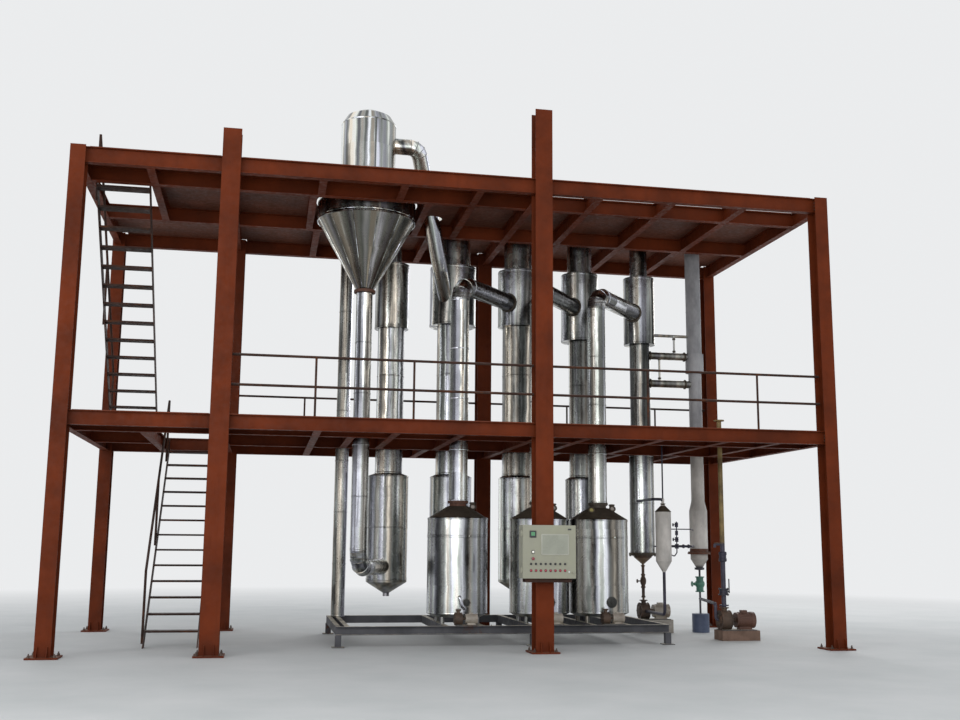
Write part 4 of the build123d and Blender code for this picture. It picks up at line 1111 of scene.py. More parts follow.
@dataclass
class SteelJoints:
    """Small steel of the frame: anchors and gussets at the feet, cleats and bolts at the beams."""

    plate_top: float = 0.025
    anchor_reach: float = 0.175
    gusset_height: float = 0.15
    gusset_thickness: float = 0.01
    lines: tuple[float, float] = (GRID.front_y, GRID.rear_y)

    def feet(self) -> Iterable[tuple[float, float]]:
        """Yields the place of each column."""
        return ((x, y) for y in self.lines for x in GRID.column_x)

    def build(self) -> None:
        """Adds all the small steel."""
        self.anchors()
        self.gussets()
        self.beam_cleats()

    def anchors(self) -> None:
        """Nut and stud on each anchor bolt of the base plates."""
        places = [(x + side * self.anchor_reach, y + way * self.anchor_reach, self.plate_top)
                  for x, y in self.feet() for side in SIDES for way in SIDES]
        Mesh().copies(stud_and_nut(0.019, 0.055), places, Axis.UP).make("anchor_nuts", BOLT)

    def gussets(self) -> None:
        """Upright plates with a sloping edge between base plate and column flanges."""
        reach = 0.225 - GRID.column_half
        outline = np.array([(0.0, 0.0), (reach, 0.0), (reach, 0.02), (0.03, self.gusset_height),
                            (0.0, self.gusset_height)])
        middle = outline.mean(axis=0)
        steel = Mesh()
        for (x, y), way, side in itertools.product(self.feet(), SIDES, SIDES):
            start = (x + side * 0.07 - self.gusset_thickness / 2,
                     y + way * (GRID.column_half + middle[0]), self.plate_top + middle[1])
            shape = (outline - middle) * np.array([way, 1.0])
            steel.plate(shape[::way], start, Axis.RIGHT, self.gusset_thickness, 0.0, Axis.BACK)
        steel.make("base_gussets", RED_STEEL)

    def beam_cleats(self) -> None:
        """Angle cleats with bolts on both sides of each beam end at the column lines."""
        steel = Mesh()
        places, axes = [], []
        levels = ((GRID.lower_floor, GRID.lower_depth), (GRID.upper_floor, GRID.upper_depth))
        ends = [(x, side) for x in GRID.column_x for side in SIDES if x != side * GRID.column_x[-1]]
        for (top, depth), y, (x, side), way in itertools.product(levels, self.lines, ends, SIDES):
            low, high = top - depth + 0.035, top - 0.035
            for wide, deep in ((0.08, 0.012), (0.014, 0.075)):
                near, far = sorted((x + side * 0.006, x + side * wide))
                front, back = sorted((y + way * 0.004, y + way * deep))
                steel.block((near, front, low), (far, back, high), 0.0015)
            for height in np.linspace(low + 0.03, high - 0.03, 3):
                places.append((x + side * 0.052, y + way * 0.012, height))
                axes.append((0.0, way, 0.0))
        bolts = Mesh().copies(hex_bolt(0.013, 0.018), places, axes)
        steel.make("beam_end_cleats", RED_STEEL)
        bolts.make("beam_end_bolts", BOLT)


@dataclass
class Jacket:
    """Cladding laps on one upright vessel or duct: ring beads, one upright lap and its rivets."""

    centre: tuple[float, float]
    spans: tuple[Triple, ...]
    seam_angle: float = -50.0
    sheet: float = 0.97
    bead: Stops = ((-0.004, -0.012), (0.002, -0.012), (0.0045, -0.006), (0.0045, 0.006), (0.002, 0.012),
                   (-0.004, 0.012))

    def heights(self, low: float, high: float) -> Array:
        """Levels of the sheets' edges in one stretch."""
        return np.linspace(low, high, max(1, round((high - low) / self.sheet)) + 1)

    def rings(self, mesh: Mesh) -> None:
        """Adds a low bead round the vessel at each sheet's edge.

        Args:
            mesh: mesh that takes the shapes.
        """
        for low, high, radius in self.spans:
            for height in self.heights(low, high):
                base = min(max(height, low + 0.012), high - 0.012)
                bead = [(radius + out, up) for out, up in self.bead]
                mesh.hoop(bead, (*self.centre, base), sides=64)

    def laps(self, mesh: Mesh) -> None:
        """Adds the upright lap: a strip that follows the round wall.

        Args:
            mesh: mesh that takes the shapes.
        """
        for low, high, radius in self.spans:
            half = 0.016 / radius
            arc = circle(3, math.radians(self.seam_angle) - half, 2 * half, closed=False)
            outline = np.concatenate([arc * (radius + 0.0025), arc[::-1] * (radius - 0.003)])
            shut = np.tile(outline.mean(axis=0), (len(outline), 1))
            rows = [np.column_stack([flat + np.array(self.centre), np.full(len(outline), height)])
                    for flat, height in ((shut, low), (outline, low), (outline, high), (shut, high))]
            mesh.add(np.stack(rows), wrap_v=True)

    def rivet_places(self) -> tuple[Array, Array]:
        """Places and directions of the rivets on the lap and just above each ring.

        Returns:
            Both as n by 3 arrays.
        """
        places, axes = [], []
        for low, high, radius in self.spans:
            spots = [(math.radians(self.seam_angle), radius + 0.002, height)
                     for height in np.arange(low + 0.06, high - 0.03, 0.14)]
            around = max(6, round(math.tau * radius / 0.2))
            spots += [(0.3 + math.tau * number / around, radius, height + 0.035)
                      for height in self.heights(low, high)[:-1] for number in range(around)]
            for angle, out, height in spots:
                axes.append(level_way(angle))
                places.append(np.array([*self.centre, height]) + axes[-1] * out)
        return np.array(places), np.array(axes)


@dataclass
class Cladding:
    """Laps, beads and rivets of every clad vessel and duct."""

    calandria_sizes: tuple[tuple[float, float, float, float], ...] = (
        (0.38, 0.2575, 0.325, 5.75), (0.395, 0.295, 0.45, 5.85), (0.37, 0.3075, 0.4, 5.89),
        (0.3, 0.22, 0.37, 5.66))
    separator_radius: float = 0.525
    duct_radius: float = 0.165
    duct_heights: tuple[float, ...] = (6.33, 6.31, 6.26)
    goals: tuple[tuple[float, float], ...] = (
        (GRID.calandria_x[2], 0.4), (GRID.calandria_x[3], 0.37), (GRID.condenser_x, 0.31))
    duct_bend: float = 0.3
    bend_points: int = 4
    pipe_radius: float = 0.145
    riser_radius: float = 0.125
    riser_top: float = 7.25
    downpipe_low: float = 1.25
    high_duct_top: float = 8.85

    def jackets(self) -> list[Jacket]:
        """Lists the jackets, with the radius of each stretch between its lower and upper end.

        Returns:
            The jackets.
        """
        rear, front = GRID.calandria_y, GRID.separator_y
        made = [Jacket((x, rear), ((1.0, 2.92, lower), (2.975, low, upper), (low + 0.01, 7.0, belt)), angle)
                for x, (lower, upper, belt, low), angle in zip(
                    GRID.calandria_x, self.calandria_sizes, (-120.0, -60.0, -115.0, -70.0))]
        made += [
            Jacket((GRID.condenser_x, rear),
                   ((1.53, 3.42, 0.24), (3.485, 5.645, 0.2), (5.66, 7.0, 0.31)), -105.0),
            Jacket((GRID.riser_x, rear), ((0.34, 6.99, self.riser_radius),), -75.0),
            Jacket(HIGH_AXIS, ((1.56, 6.06, self.pipe_radius),), -110.0),
            Jacket(HIGH_AXIS, ((7.383, 7.69, 0.875), (8.25, 9.2, 0.495)), -80.0),
        ]
        spans = ((0.49, 1.8, self.separator_radius), (1.8, 2.11, self.separator_radius))
        made += [Jacket((x, front), spans, angle, 1.31)
                 for x, angle in zip(GRID.separator_x, (-128.0, -60.0, -125.0))]
        made += [Jacket((x, front), ((2.41, top - self.duct_bend, self.duct_radius),), angle)
                 for x, top, angle in zip(GRID.separator_x, self.duct_heights, (-65.0, -100.0, -80.0))]
        return made

    def bends(self) -> list[tuple[Sequence[Point], float, float]]:
        """Lists each segmented bend as its route, its bend radius and its pipe radius.

        Returns:
            The bends.
        """
        first, riser, high = GRID.calandria_x[0], GRID.riser_x, GRID.high_x
        rear, front = GRID.calandria_y, GRID.separator_y
        made = [
            ([(riser, rear, 6.0), (riser, rear, self.riser_top), (first, rear, self.riser_top)],
             0.25, self.riser_radius),
            ([(high, front, 2.5), (high, front, self.downpipe_low), (first, rear, self.downpipe_low)],
             0.3, self.pipe_radius),
            ([(high, front, self.high_duct_top), (-0.64, front, self.high_duct_top), (0.095, 0.9125, 6.47)],
             0.2, self.pipe_radius),
        ]
        for x, height, (goal, _) in zip(GRID.separator_x, self.duct_heights, self.goals):
            route = [(x, front, 4.0), (x, front, height), (goal, rear, height)]
            made.append((route, self.duct_bend, self.duct_radius))
        return made

    def mitres(self, mesh: Mesh) -> None:
        """Adds a bead on each cut of the segmented bends.

        Args:
            mesh: mesh that takes the shapes.
        """
        for route, bend, radius in self.bends():
            path = smooth_path(route, bend, self.bend_points)
            for before, corner, after in zip(path[:-2], path[1:-1], path[2:]):
                mesh.mitre_bead(before, corner, after, radius, 0.006)

    def duct_collars(self, mesh: Mesh) -> None:
        """Adds a dull flanged ring where each duct enters the wider belt of the next vessel.

        Args:
            mesh: mesh that takes the shapes.
        """
        for x, height, (goal, belt) in zip(GRID.separator_x, self.duct_heights, self.goals):
            way = unit((goal - x, GRID.calandria_y - GRID.separator_y, 0.0))
            place = np.array([goal, GRID.calandria_y, height]) - way * (belt + 0.045)
            band = ring(self.duct_radius - 0.002, self.duct_radius + 0.022, 0.0, 0.03, 0.004)
            mesh.hoop(band, place, way, 56)

    def cone_seams(self, seams: Mesh, rust: Mesh) -> None:
        """Adds the sloping seams, the turned-over rim and the rusted ring at the tip of the high cone.

        Args:
            seams: mesh that takes the seams and the rim.
            rust: mesh that takes the rusted ring.
        """
        foot = np.array([*HIGH_AXIS, 0.0])
        for angle in np.linspace(0.15, 0.15 + math.tau, 12, endpoint=False):
            seams.pipe([foot + level_way(angle) * radius + (0.0, 0.0, height)
                        for radius, height in ((0.15, 6.112), (0.872, 7.378))], 0.006, sides=8)
        rim = [(0.862, 7.34), (0.884, 7.348), (0.886, 7.372), (0.88, 7.386), (0.862, 7.386)]
        seams.hoop(rim, foot, sides=24)
        tip = [(0.15, 6.066), (0.19, 6.066), (0.192, 6.09), (0.19, 6.114), (0.15, 6.114)]
        rust.hoop(tip, foot)

    def build(self) -> None:
        """Adds the beads, laps, rivets and collars, each kind as one piece."""
        rings, laps, rivets, collars, rust = (Mesh() for _ in range(5))
        self.mitres(rings)
        self.duct_collars(collars)
        self.cone_seams(laps, rust)
        for jacket in self.jackets():
            jacket.rings(rings)
            jacket.laps(laps)
            rivets.copies(rivet(0.006), *jacket.rivet_places())
        rings.make("cladding_ring_beads", CLADDING)
        laps.make("cladding_upright_laps", CLADDING)
        rivets.make("cladding_rivets", STAINLESS)
        collars.make("duct_entry_collars", ROOF)
        rust.make("cone_tip_ring", RUST)


@dataclass
class SeparatorFittings:
    """Neck flanges, drip edges, roof ribs, sight glasses, ports and sample tubes of the low separators."""

    radius: float = 0.525
    roof_low: float = 2.11
    cone_top: float = 2.32
    cone_radius: float = 0.18
    flange_low: float = 2.375
    flange_top: float = 2.405
    nozzle_out: float = 0.26
    nozzle_middle: float = 2.285
    nozzle_top: float = 2.389
    lamp_out: float = 0.32
    lamp_angle: float = math.radians(-128.0)
    port_angle: float = math.radians(-82.0)
    port_height: float = 0.689
    port_radii: tuple[float, ...] = (0.06, 0.075, 0.095)
    ringed_ports: int = 2

    def slope_height(self, out: float) -> float:
        """Height of the roof at a distance from its axis."""
        share = (self.radius - out) / (self.radius - self.cone_radius)
        return self.roof_low + share * (self.cone_top - self.roof_low)

    def build(self) -> None:
        """Adds all the fittings."""
        self.flange_bolts()
        self.drip_edges()
        self.sight_glasses()
        self.ports()

    def flange_bolts(self) -> None:
        """Bolts round the neck flanges and a ring of weld below them."""
        bolts, rusted, dull = Mesh(), Mesh(), Mesh()
        low, high = self.flange_low - 0.003, self.flange_top + 0.006
        weld = [(0.14, 2.316), (0.152, 2.319), (0.149, 2.326), (0.147, low), (0.14, low)]
        for x, cover in zip(GRID.separator_x, (rusted, dull, dull)):
            centre = (x, GRID.separator_y, 0.0)
            bolts.circle_of(hex_bolt(0.008, 0.014), (x, GRID.separator_y, self.flange_low), 0.16, 10,
                            Axis.UP, 0.2, Axis.DOWN)
            cover.hoop(ring(0.164, 0.18, low, high, 0.003), centre, sides=56)
            cover.hoop(weld, centre, sides=56)
        bolts.make("neck_flange_bolts", BOLT)
        rusted.make("rusted_neck_flange", RUST)
        dull.make("dull_neck_flanges", ROOF)

    def drip_edges(self) -> None:
        """Folded edge where roof meets wall, with a lap line down the roof."""
        edges, ribs = Mesh(), Mesh()
        low = self.roof_low
        fold = [(self.radius - 0.006, low - 0.03), (self.radius + 0.004, low - 0.03),
                (self.radius + 0.007, low - 0.002), (self.radius - 0.01, low + 0.012),
                (self.radius - 0.02, low + 0.01)]
        for number, x in enumerate(GRID.separator_x):
            edges.hoop(fold, (x, GRID.separator_y, 0.0), sides=72)
            for angle in np.radians([-62.0 + 21 * number, 85.0, 205.0]):
                ribs.pipe([np.array([x, GRID.separator_y, self.slope_height(out)]) + level_way(angle) * out
                           for out in (0.19, 0.52)], 0.006, sides=8)
        edges.make("roof_drip_edges", CLADDING)
        ribs.make("roof_lap_ribs", ROOF)

    def sight_glasses(self) -> None:
        """Round glass in a thick bolted ring on each nozzle's front, and a lamp glass on the third roof."""
        necks, glasses, amber, bolts, caps = (Mesh() for _ in range(5))
        facing = unit((-0.08, -0.9, 0.42))
        lamp = np.array([GRID.separator_x[2], GRID.separator_y, self.slope_height(self.lamp_out) + 0.035])
        spots = [(np.array([x + self.nozzle_out, GRID.separator_y, self.nozzle_middle]) + facing * 0.045,
                  glasses) for x in GRID.separator_x]
        spots.append((lamp + level_way(self.lamp_angle) * self.lamp_out, amber))
        for face, glass in spots:
            necks.hoop([(0.036, -0.05), (0.044, -0.05), (0.046, -0.004), (0.058, 0.0), (0.061, 0.02),
                        (0.056, 0.028), (0.038, 0.028), (0.036, 0.018)], face, facing, 36)
            glass.turn([(0.0375, 0.0), (0.0375, 0.016), (0.03, 0.023)], face, facing, 36)
            bolts.circle_of(hex_bolt(0.005, 0.01), face + facing * 0.027, 0.049, 6, facing)
        for x in GRID.separator_x:
            caps.turn([(0.054, -0.022), (0.056, -0.018), (0.056, -0.004), (0.05, 0.002), (0.02, 0.006)],
                      (x + self.nozzle_out, GRID.separator_y, self.nozzle_top), sides=36)
        necks.make("sight_glass_necks", ROOF)
        caps.make("nozzle_caps", ROOF)
        glasses.make("sight_glasses", Lens("pale_glass", ROOF.slot, (0.42, 0.38, 0.34)))
        amber.make("lamp_glass", Lens("amber_glass", ROOF.slot, (0.46, 0.4, 0.16)))
        bolts.make("sight_glass_bolts", BOLT)

    def ports(self) -> None:
        """Round cleaning port low on each wall, a wide tube beside the first and a thin one on each wall."""
        rings, covers, bolts, tubes = (Mesh() for _ in range(4))
        side, out = level_way(self.port_angle), level_way(self.port_angle - 0.24)
        for number, (x, radius) in enumerate(zip(GRID.separator_x, self.port_radii)):
            face = np.array([x, GRID.separator_y, self.port_height]) + side * (self.radius - 0.012)
            covers.turn([(radius, 0.0), (radius, 0.027), (radius * 0.93, 0.031), (radius * 0.34, 0.033),
                         (radius * 0.3, 0.044), (radius * 0.1, 0.046)], face, side, 44)
            if number < self.ringed_ports:
                rings.hoop([(radius - 0.004, 0.0), (radius + 0.01, 0.0), (radius + 0.012, 0.016),
                            (radius + 0.016, 0.018), (radius + 0.016, 0.026), (radius - 0.004, 0.026)],
                           face, side, 44)
                bolts.circle_of(hex_bolt(0.005, 0.009), face + side * 0.026, radius + 0.006, 8, side)
            if number == 0:
                root = np.array([x, GRID.separator_y, 0.79]) + out * (self.radius - 0.01)
                tubes.pipe([root, root + out * 0.075, root + out * 0.075 + (0.05, 0, -0.15),
                            root + out * 0.04 + (0.09, 0, -0.2)], 0.029, 0.07, 18)
            root = np.array([x + 0.235 * self.radius, GRID.separator_y - 0.972 * self.radius, 1.8])
            tubes.pipe([root, root + (0.01, -0.05, 0.0)], 0.013, sides=12)
        rings.make("port_rings", STAINLESS)
        covers.make("port_covers", PORT)
        bolts.make("port_bolts", BOLT)
        tubes.make("sample_tubes", BRIGHT_TUBE)


@dataclass
class CabinetFace:
    """What is on the cabinet's door, and the bracket and cable glands under the box."""

    face_y: float = -2.8125
    row_start: float = 0.907
    row_end: float = 1.449
    row_count: int = 8
    knob_height: float = 1.374
    lamp_height: float = 1.273
    screen_x: float = 1.29
    screen_height: float = 1.6715
    button_x: float = 0.939
    button_heights: tuple[float, float] = (1.555, 1.454)

    def build(self) -> None:
        """Adds the screen, lamps, knobs, lock, bracket and glands."""
        self.screen()
        self.rows()
        self.lamps()
        self.bracket()

    def flat(self, mesh: Mesh, size: Triple, spot: Triple, depth: float, bevel: float) -> None:
        """Adds a plate: its width, height and corner, and its place, height and distance from the door."""
        x, height, out = spot
        mesh.plate(rectangle(*size), (x, self.face_y - out, height), Axis.FRONT, depth, bevel, Axis.RIGHT)

    def screen(self) -> None:
        """Touch screen in a thin frame, and the square indicator in a dark one."""
        bezel, glass, meter, window = (Mesh() for _ in range(4))
        self.flat(bezel, (0.442, 0.318, 0.012), (self.screen_x, self.screen_height, 0.0), 0.008, 0.002)
        self.flat(glass, (0.41, 0.286, 0.006), (self.screen_x, self.screen_height, 0.006), 0.004, 0.001)
        self.flat(meter, (0.106, 0.106, 0.006), (0.936, 1.828, 0.0), 0.012, 0.002)
        self.flat(meter, (0.056, 0.024, 0.003), (1.525, 1.904, 0.0), 0.002, 0.0005)
        self.flat(window, (0.062, 0.056, 0.003), (0.938, 1.832, 0.011), 0.003, 0.0008)
        frame_coat = Coat("pale_bezel", CABINET_SLOT, (0.46, 0.46, 0.39), (0.4, 0.4, 0.34), spot_amount=0.05)
        bezel.make("screen_bezel", frame_coat, DOOR)
        glass.make("screen_glass", Lens("grey_screen", CABINET_SLOT, (0.3, 0.31, 0.25), 0.1, 0.16), DOOR)
        meter.make("indicator_body", BLACK, DOOR)
        window.make("indicator_window", Lens("green_window", CABINET_SLOT, (0.08, 0.25, 0.12), 0.35), DOOR)

    def rows(self) -> None:
        """Row of selector knobs, each with its plate, and row of red lamps below it."""
        knobs, collars, lenses = (Mesh() for _ in range(3))
        grip = rectangle(0.032, 0.008, 0.002)
        for number, x in enumerate(np.linspace(self.row_start, self.row_end, self.row_count)):
            knobs.turn([(0.018, 0.0), (0.018, 0.006), (0.014, 0.01), (0.014, 0.015), (0.012, 0.017)],
                       (x, self.face_y, self.knob_height), Axis.FRONT, 24)
            turn = math.radians(90 + (35 if number % 3 else -35))
            knobs.plate(grip, (x, self.face_y - 0.013, self.knob_height), Axis.FRONT, 0.011, 0.001,
                        (math.cos(turn), 0.0, math.sin(turn)))
            spot = (x, self.face_y, self.lamp_height)
            collars.hoop([(0.014, 0.0), (0.021, 0.0), (0.021, 0.007), (0.018, 0.009), (0.014, 0.009)], spot,
                         Axis.FRONT, 24)
            lenses.turn([(0.0165, 0.0), (0.0165, 0.01), (0.013, 0.015), (0.006, 0.018)], spot, Axis.FRONT, 20)
        knobs.make("selector_knobs", BLACK, DOOR)
        collars.make("lamp_collars", BLACK, DOOR)
        lenses.make("red_lamps", Lens("red_lens", CABINET_SLOT, (0.36, 0.02, 0.045), 0.12), DOOR)

    def lamps(self) -> None:
        """White lamp, red stop button, and lock."""
        lamp, collar, button, lock = (Mesh() for _ in range(4))
        above, below = ((self.button_x, self.face_y, height) for height in self.button_heights)
        collar.hoop([(0.017, 0.0), (0.028, 0.0), (0.028, 0.006), (0.024, 0.01), (0.017, 0.01)], above,
                    Axis.FRONT, 32)
        collar.hoop([(0.01, 0.0), (0.024, 0.0), (0.024, 0.01), (0.02, 0.014), (0.01, 0.014)], below,
                    Axis.FRONT, 32)
        lamp.turn([(0.018, 0.0), (0.018, 0.01), (0.012, 0.018), (0.005, 0.02)], above, Axis.FRONT, 28)
        button.turn([(0.01, 0.008), (0.01, 0.013), (0.022, 0.014), (0.024, 0.019), (0.019, 0.0225),
                     (0.008, 0.024)], below, Axis.FRONT, 32)
        lock.turn([(0.015, 0.0), (0.015, 0.01), (0.012, 0.013)], (1.513, self.face_y, 1.253), Axis.FRONT, 24)
        collar.make("button_collars", BLACK, DOOR)
        lamp.make("white_lamp", Lens("white_lens", CABINET_SLOT, (0.8, 0.78, 0.7), 0.6), DOOR)
        button.make("stop_button", Lens("red_button", CABINET_SLOT, (0.27, 0.045, 0.06)), DOOR)
        lock.make("door_lock", replace(BRIGHT_TUBE, slot=CABINET_SLOT), DOOR)

    def bracket(self) -> None:
        """Angle bracket under the box and cable glands."""
        steel, glands = Mesh(), Mesh()
        steel.block((0.83, -2.77, 1.092), (1.57, -2.735, 1.15), 0.003)
        steel.block((0.83, -2.6, 1.092), (1.57, -2.565, 1.15), 0.003)
        for x in (1.075, 1.325):
            steel.block((x - 0.02, -2.735, 1.092), (x + 0.02, -2.5345, 1.146), 0.003)
        steel.make("cabinet_bracket", DARK_STEEL)
        for x in (0.93, 1.0, 1.44, 1.5):
            glands.turn([(0.02, 0.0), (0.02, 0.02), (0.015, 0.024), (0.015, 0.04), (0.01, 0.046)],
                        (x, -2.67, 1.1515), Axis.DOWN, 16)
        glands.make("cable_glands", BLACK)


@dataclass
class LineFittings:
    """Union and flange on the vacuum line, and the bolts of its valve."""

    place: tuple[float, float] = (GRID.line_x, GRID.line_y)
    union: Stops = ((0.04, 1.385), (0.06, 1.385), (0.072, 1.4), (0.072, 1.44), (0.064, 1.45), (0.064, 1.5),
                    (0.072, 1.51), (0.072, 1.55), (0.06, 1.565), (0.04, 1.565))
    flange: Stops = ((0.04, 0.6), (0.085, 0.6), (0.085, 0.622), (0.04, 0.622))
    bolt_circle: float = 0.078
    bolt_faces: tuple[tuple[float, Axis], ...] = (
        (0.812, Axis.UP), (0.79, Axis.DOWN), (0.91, Axis.UP), (0.888, Axis.DOWN))

    def build(self) -> None:
        """Adds the union and the bolts."""
        foot, bolts = (*self.place, 0.0), Mesh()
        for height, way in self.bolt_faces:
            bolts.circle_of(hex_bolt(0.009, 0.014), (*self.place, height), self.bolt_circle, 4, Axis.UP,
                            math.pi / 4, way)
        union = Mesh().hoop(self.union, foot, sides=24).hoop(self.flange, foot, sides=28)
        union.make("line_union", DARK_PIPE)
        bolts.make("valve_flange_bolts", BOLT)


@dataclass
class PumpSets:
    """Flanges and bolts of each pump, and fins, cowl and terminal box of its motor.

    Each set is its place, its base's height and its casing's radius; the profiles are shares of that radius
    and of the motor's length.
    """

    sets: tuple[tuple[float, float, float, float], ...] = (
        *((x - 0.095, -1.0875, 0.33, 0.095) for x in GRID.separator_x),
        (GRID.condenser_x, GRID.calandria_y, 0.25, 0.15), (GRID.line_x, GRID.line_y, 0.175, 0.165))
    base: float = 0.012
    nozzle: float = 0.06
    width_share: float = 1.1
    shaft_share: float = 0.7
    length_share: float = 2.1
    cover: Stops = ((0.62, 0.0), (0.6, 0.1), (0.35, 0.18))
    cowl: Stops = ((0.7, 0.0), (0.86, 0.0), (0.88, 0.05), (0.88, 0.22), (0.8, 0.24), (0.7, 0.235))
    cowl_start: float = 0.78
    grille: tuple[float, ...] = (0.2, 0.4, 0.6)
    fin_count: int = 24
    foot_gap: float = 0.45

    def build(self) -> None:
        """Adds all the sets, each kind of piece as one."""
        casting, bolts, fins, boxes = (Mesh() for _ in range(4))
        for x, y, floor, radius in self.sets:
            hub = np.array([x, y, floor + self.base + radius])
            self.casing(casting, bolts, hub, radius)
            self.motor(fins, boxes, hub, radius)
        casting.make("pump_flanges", IRON)
        bolts.make("pump_bolts", BOLT)
        fins.make("motor_fins_and_cowls", MOTOR)
        boxes.make("motor_terminal_boxes", MOTOR)

    def casing(self, casting: Mesh, bolts: Mesh, hub: Array, radius: float) -> None:
        """Adds rims, cover and nozzle flange of one pump, and their bolts.

        Args:
            casting: mesh that takes the castings.
            bolts: mesh that takes the bolts.
            hub: middle of the casing.
            radius: its radius.
        """
        half = radius * self.width_share / 2
        rim = ring(radius * 0.8, radius * 1.0005 + 0.01, -0.008, 0.008, 0.002)
        for side in SIDES:
            casting.hoop(rim, hub + (side * half, 0.0, 0.0), Axis.RIGHT, 40)
        cover = [(radius * out, radius * along) for out, along in self.cover]
        casting.turn(cover, hub - (half, 0.0, 0.0), Axis.LEFT, 32)
        top = radius + self.nozzle
        casting.hoop(ring(radius * 0.2, radius * 0.52, -0.018, 0.0, 0.002), hub + (0.0, 0.0, top), sides=28)
        bolts.circle_of(hex_bolt(0.007, 0.01), hub + (0.0, 0.0, top - 0.018), radius * 0.42, 4, Axis.UP, 0.4,
                        Axis.DOWN)
        bolts.circle_of(hex_bolt(0.008, 0.012), hub - (half + 0.008, 0.0, 0.0), radius * 0.9, 8, Axis.LEFT)

    def motor(self, fins: Mesh, boxes: Mesh, hub: Array, radius: float) -> None:
        """Adds fins round one motor but at its foot, the fan's cowl with its grille, and the terminal box.

        Args:
            fins: mesh that takes the fins and the cowl.
            boxes: mesh that takes the terminal box.
            hub: middle of the pump's casing.
            radius: its radius.
        """
        start = hub + (radius * (self.width_share / 2 + self.shaft_share), 0.0, 0.0)
        length = radius * self.length_share
        for angle in np.linspace(0, math.tau, self.fin_count, endpoint=False):
            if abs(math.sin(angle) + 1) < self.foot_gap:
                continue
            out = np.array([0.0, math.cos(angle), math.sin(angle)])
            middle = start + (length * 0.12, 0.0, 0.0) + out * radius * 0.81
            fins.plate(rectangle(radius * 0.07, radius * 0.03), middle, Axis.RIGHT, length * 0.62, 0.0, out)
        rear = start + (length * self.cowl_start, 0.0, 0.0)
        fins.hoop([(radius * out, length * along) for out, along in self.cowl], rear, Axis.RIGHT, 40)
        for share in self.grille:
            wire = ring(radius * share, radius * share + 0.004, length * 0.215, length * 0.235)
            fins.hoop(wire, rear, Axis.RIGHT, 32)
        boxes.block(start + (length * 0.3, -radius * 0.3, radius * 0.74),
                    start + (length * 0.62, radius * 0.3, radius * 1.05), 0.004)


@dataclass
class ReceiverFittings:
    """Weld seams, cap and pipes of the receiver, and the level gauge beside it with its valves."""

    place: tuple[float, float] = (GRID.receiver_x, GRID.receiver_y)
    wall: float = 0.14
    seams: tuple[float, ...] = (1.385, 2.285)
    cap: Stops = ((0.149, 2.285), (0.149, 2.296), (0.036, 2.41), (0.036, 2.425), (0.048, 2.427),
                  (0.048, 2.442), (0.02, 2.443))
    stand_x: float = 4.415
    valves: Stops = ((2.05, 0.034), (1.9, 0.03), (1.78, 0.036), (1.655, 0.038))
    body: Stops = ((0.5, -0.045), (1.0, -0.04), (0.85, -0.012), (1.08, 0.0), (0.85, 0.012), (1.0, 0.04),
                   (0.5, 0.045))
    wheel: Stops = ((0.008, 0.0), (0.008, 0.06), (0.032, 0.062), (0.032, 0.072), (0.008, 0.074))
    wheel_heights: tuple[float, ...] = (2.05, 1.78)
    top_pipe: float = 2.52
    drain: float = 1.655

    def build(self) -> None:
        """Adds the gauge and the receiver's own fittings."""
        self.pipes()
        self.gauge()
        seams = Mesh()
        for height in self.seams:
            seams.hoop(weld_seam(0.142, 0.148, height), (*self.place, 0.0))
        seams.make("receiver_weld_seams", PALE)
        Mesh().turn(self.cap, (*self.place, 0.0)).make("receiver_cap", ROOF)

    def pipes(self) -> None:
        """Two lines to the vent condenser, the standpipe, a stub, and the line to the condenser."""
        pipes, (x, y), stand = Mesh(), self.place, self.stand_x
        wall, rear = x + self.wall, GRID.calandria_y
        for height, radius, bend in ((1.97, 0.01, 0.05), (self.drain, 0.022, 0.08)):
            pipes.pipe([(wall, y, height), (4.7, y, height), (5.17, rear - 0.08, height)], radius, bend)
        pipes.pipe([(stand, y, 2.11), (stand, y, 1.54), (stand - 0.05, y, 1.47), (wall, y, 1.5)], 0.011, 0.03)
        pipes.pipe([(x - 0.135, y, 1.65), (x - 0.19, y, 1.65)], 0.012)
        pipes.pipe([(x, y, 2.425), (x, y, self.top_pipe), (x - 0.19, y, self.top_pipe),
                    (GRID.condenser_x - 0.15, rear - 0.18, self.top_pipe)], 0.026, 0.05)
        pipes.make("gauge_pipes", DARK_PIPE)

    def gauge(self) -> None:
        """Valves on the standpipe, two of them with a hand wheel, and two unions on the drain."""
        made, y, stand = Mesh(), self.place[1], self.stand_x
        for height, size in self.valves:
            made.turn([(size * out, up) for out, up in self.body], (stand, y, height), sides=16)
        for height in self.wheel_heights:
            made.turn(self.wheel, (stand, y, height), Axis.LEFT, 16)
        made.copies(union_nut(0.036), [(stand + reach, y, self.drain) for reach in (0.13, 0.23)], Axis.RIGHT)
        made.make("gauge_valves", DARK_PIPE)


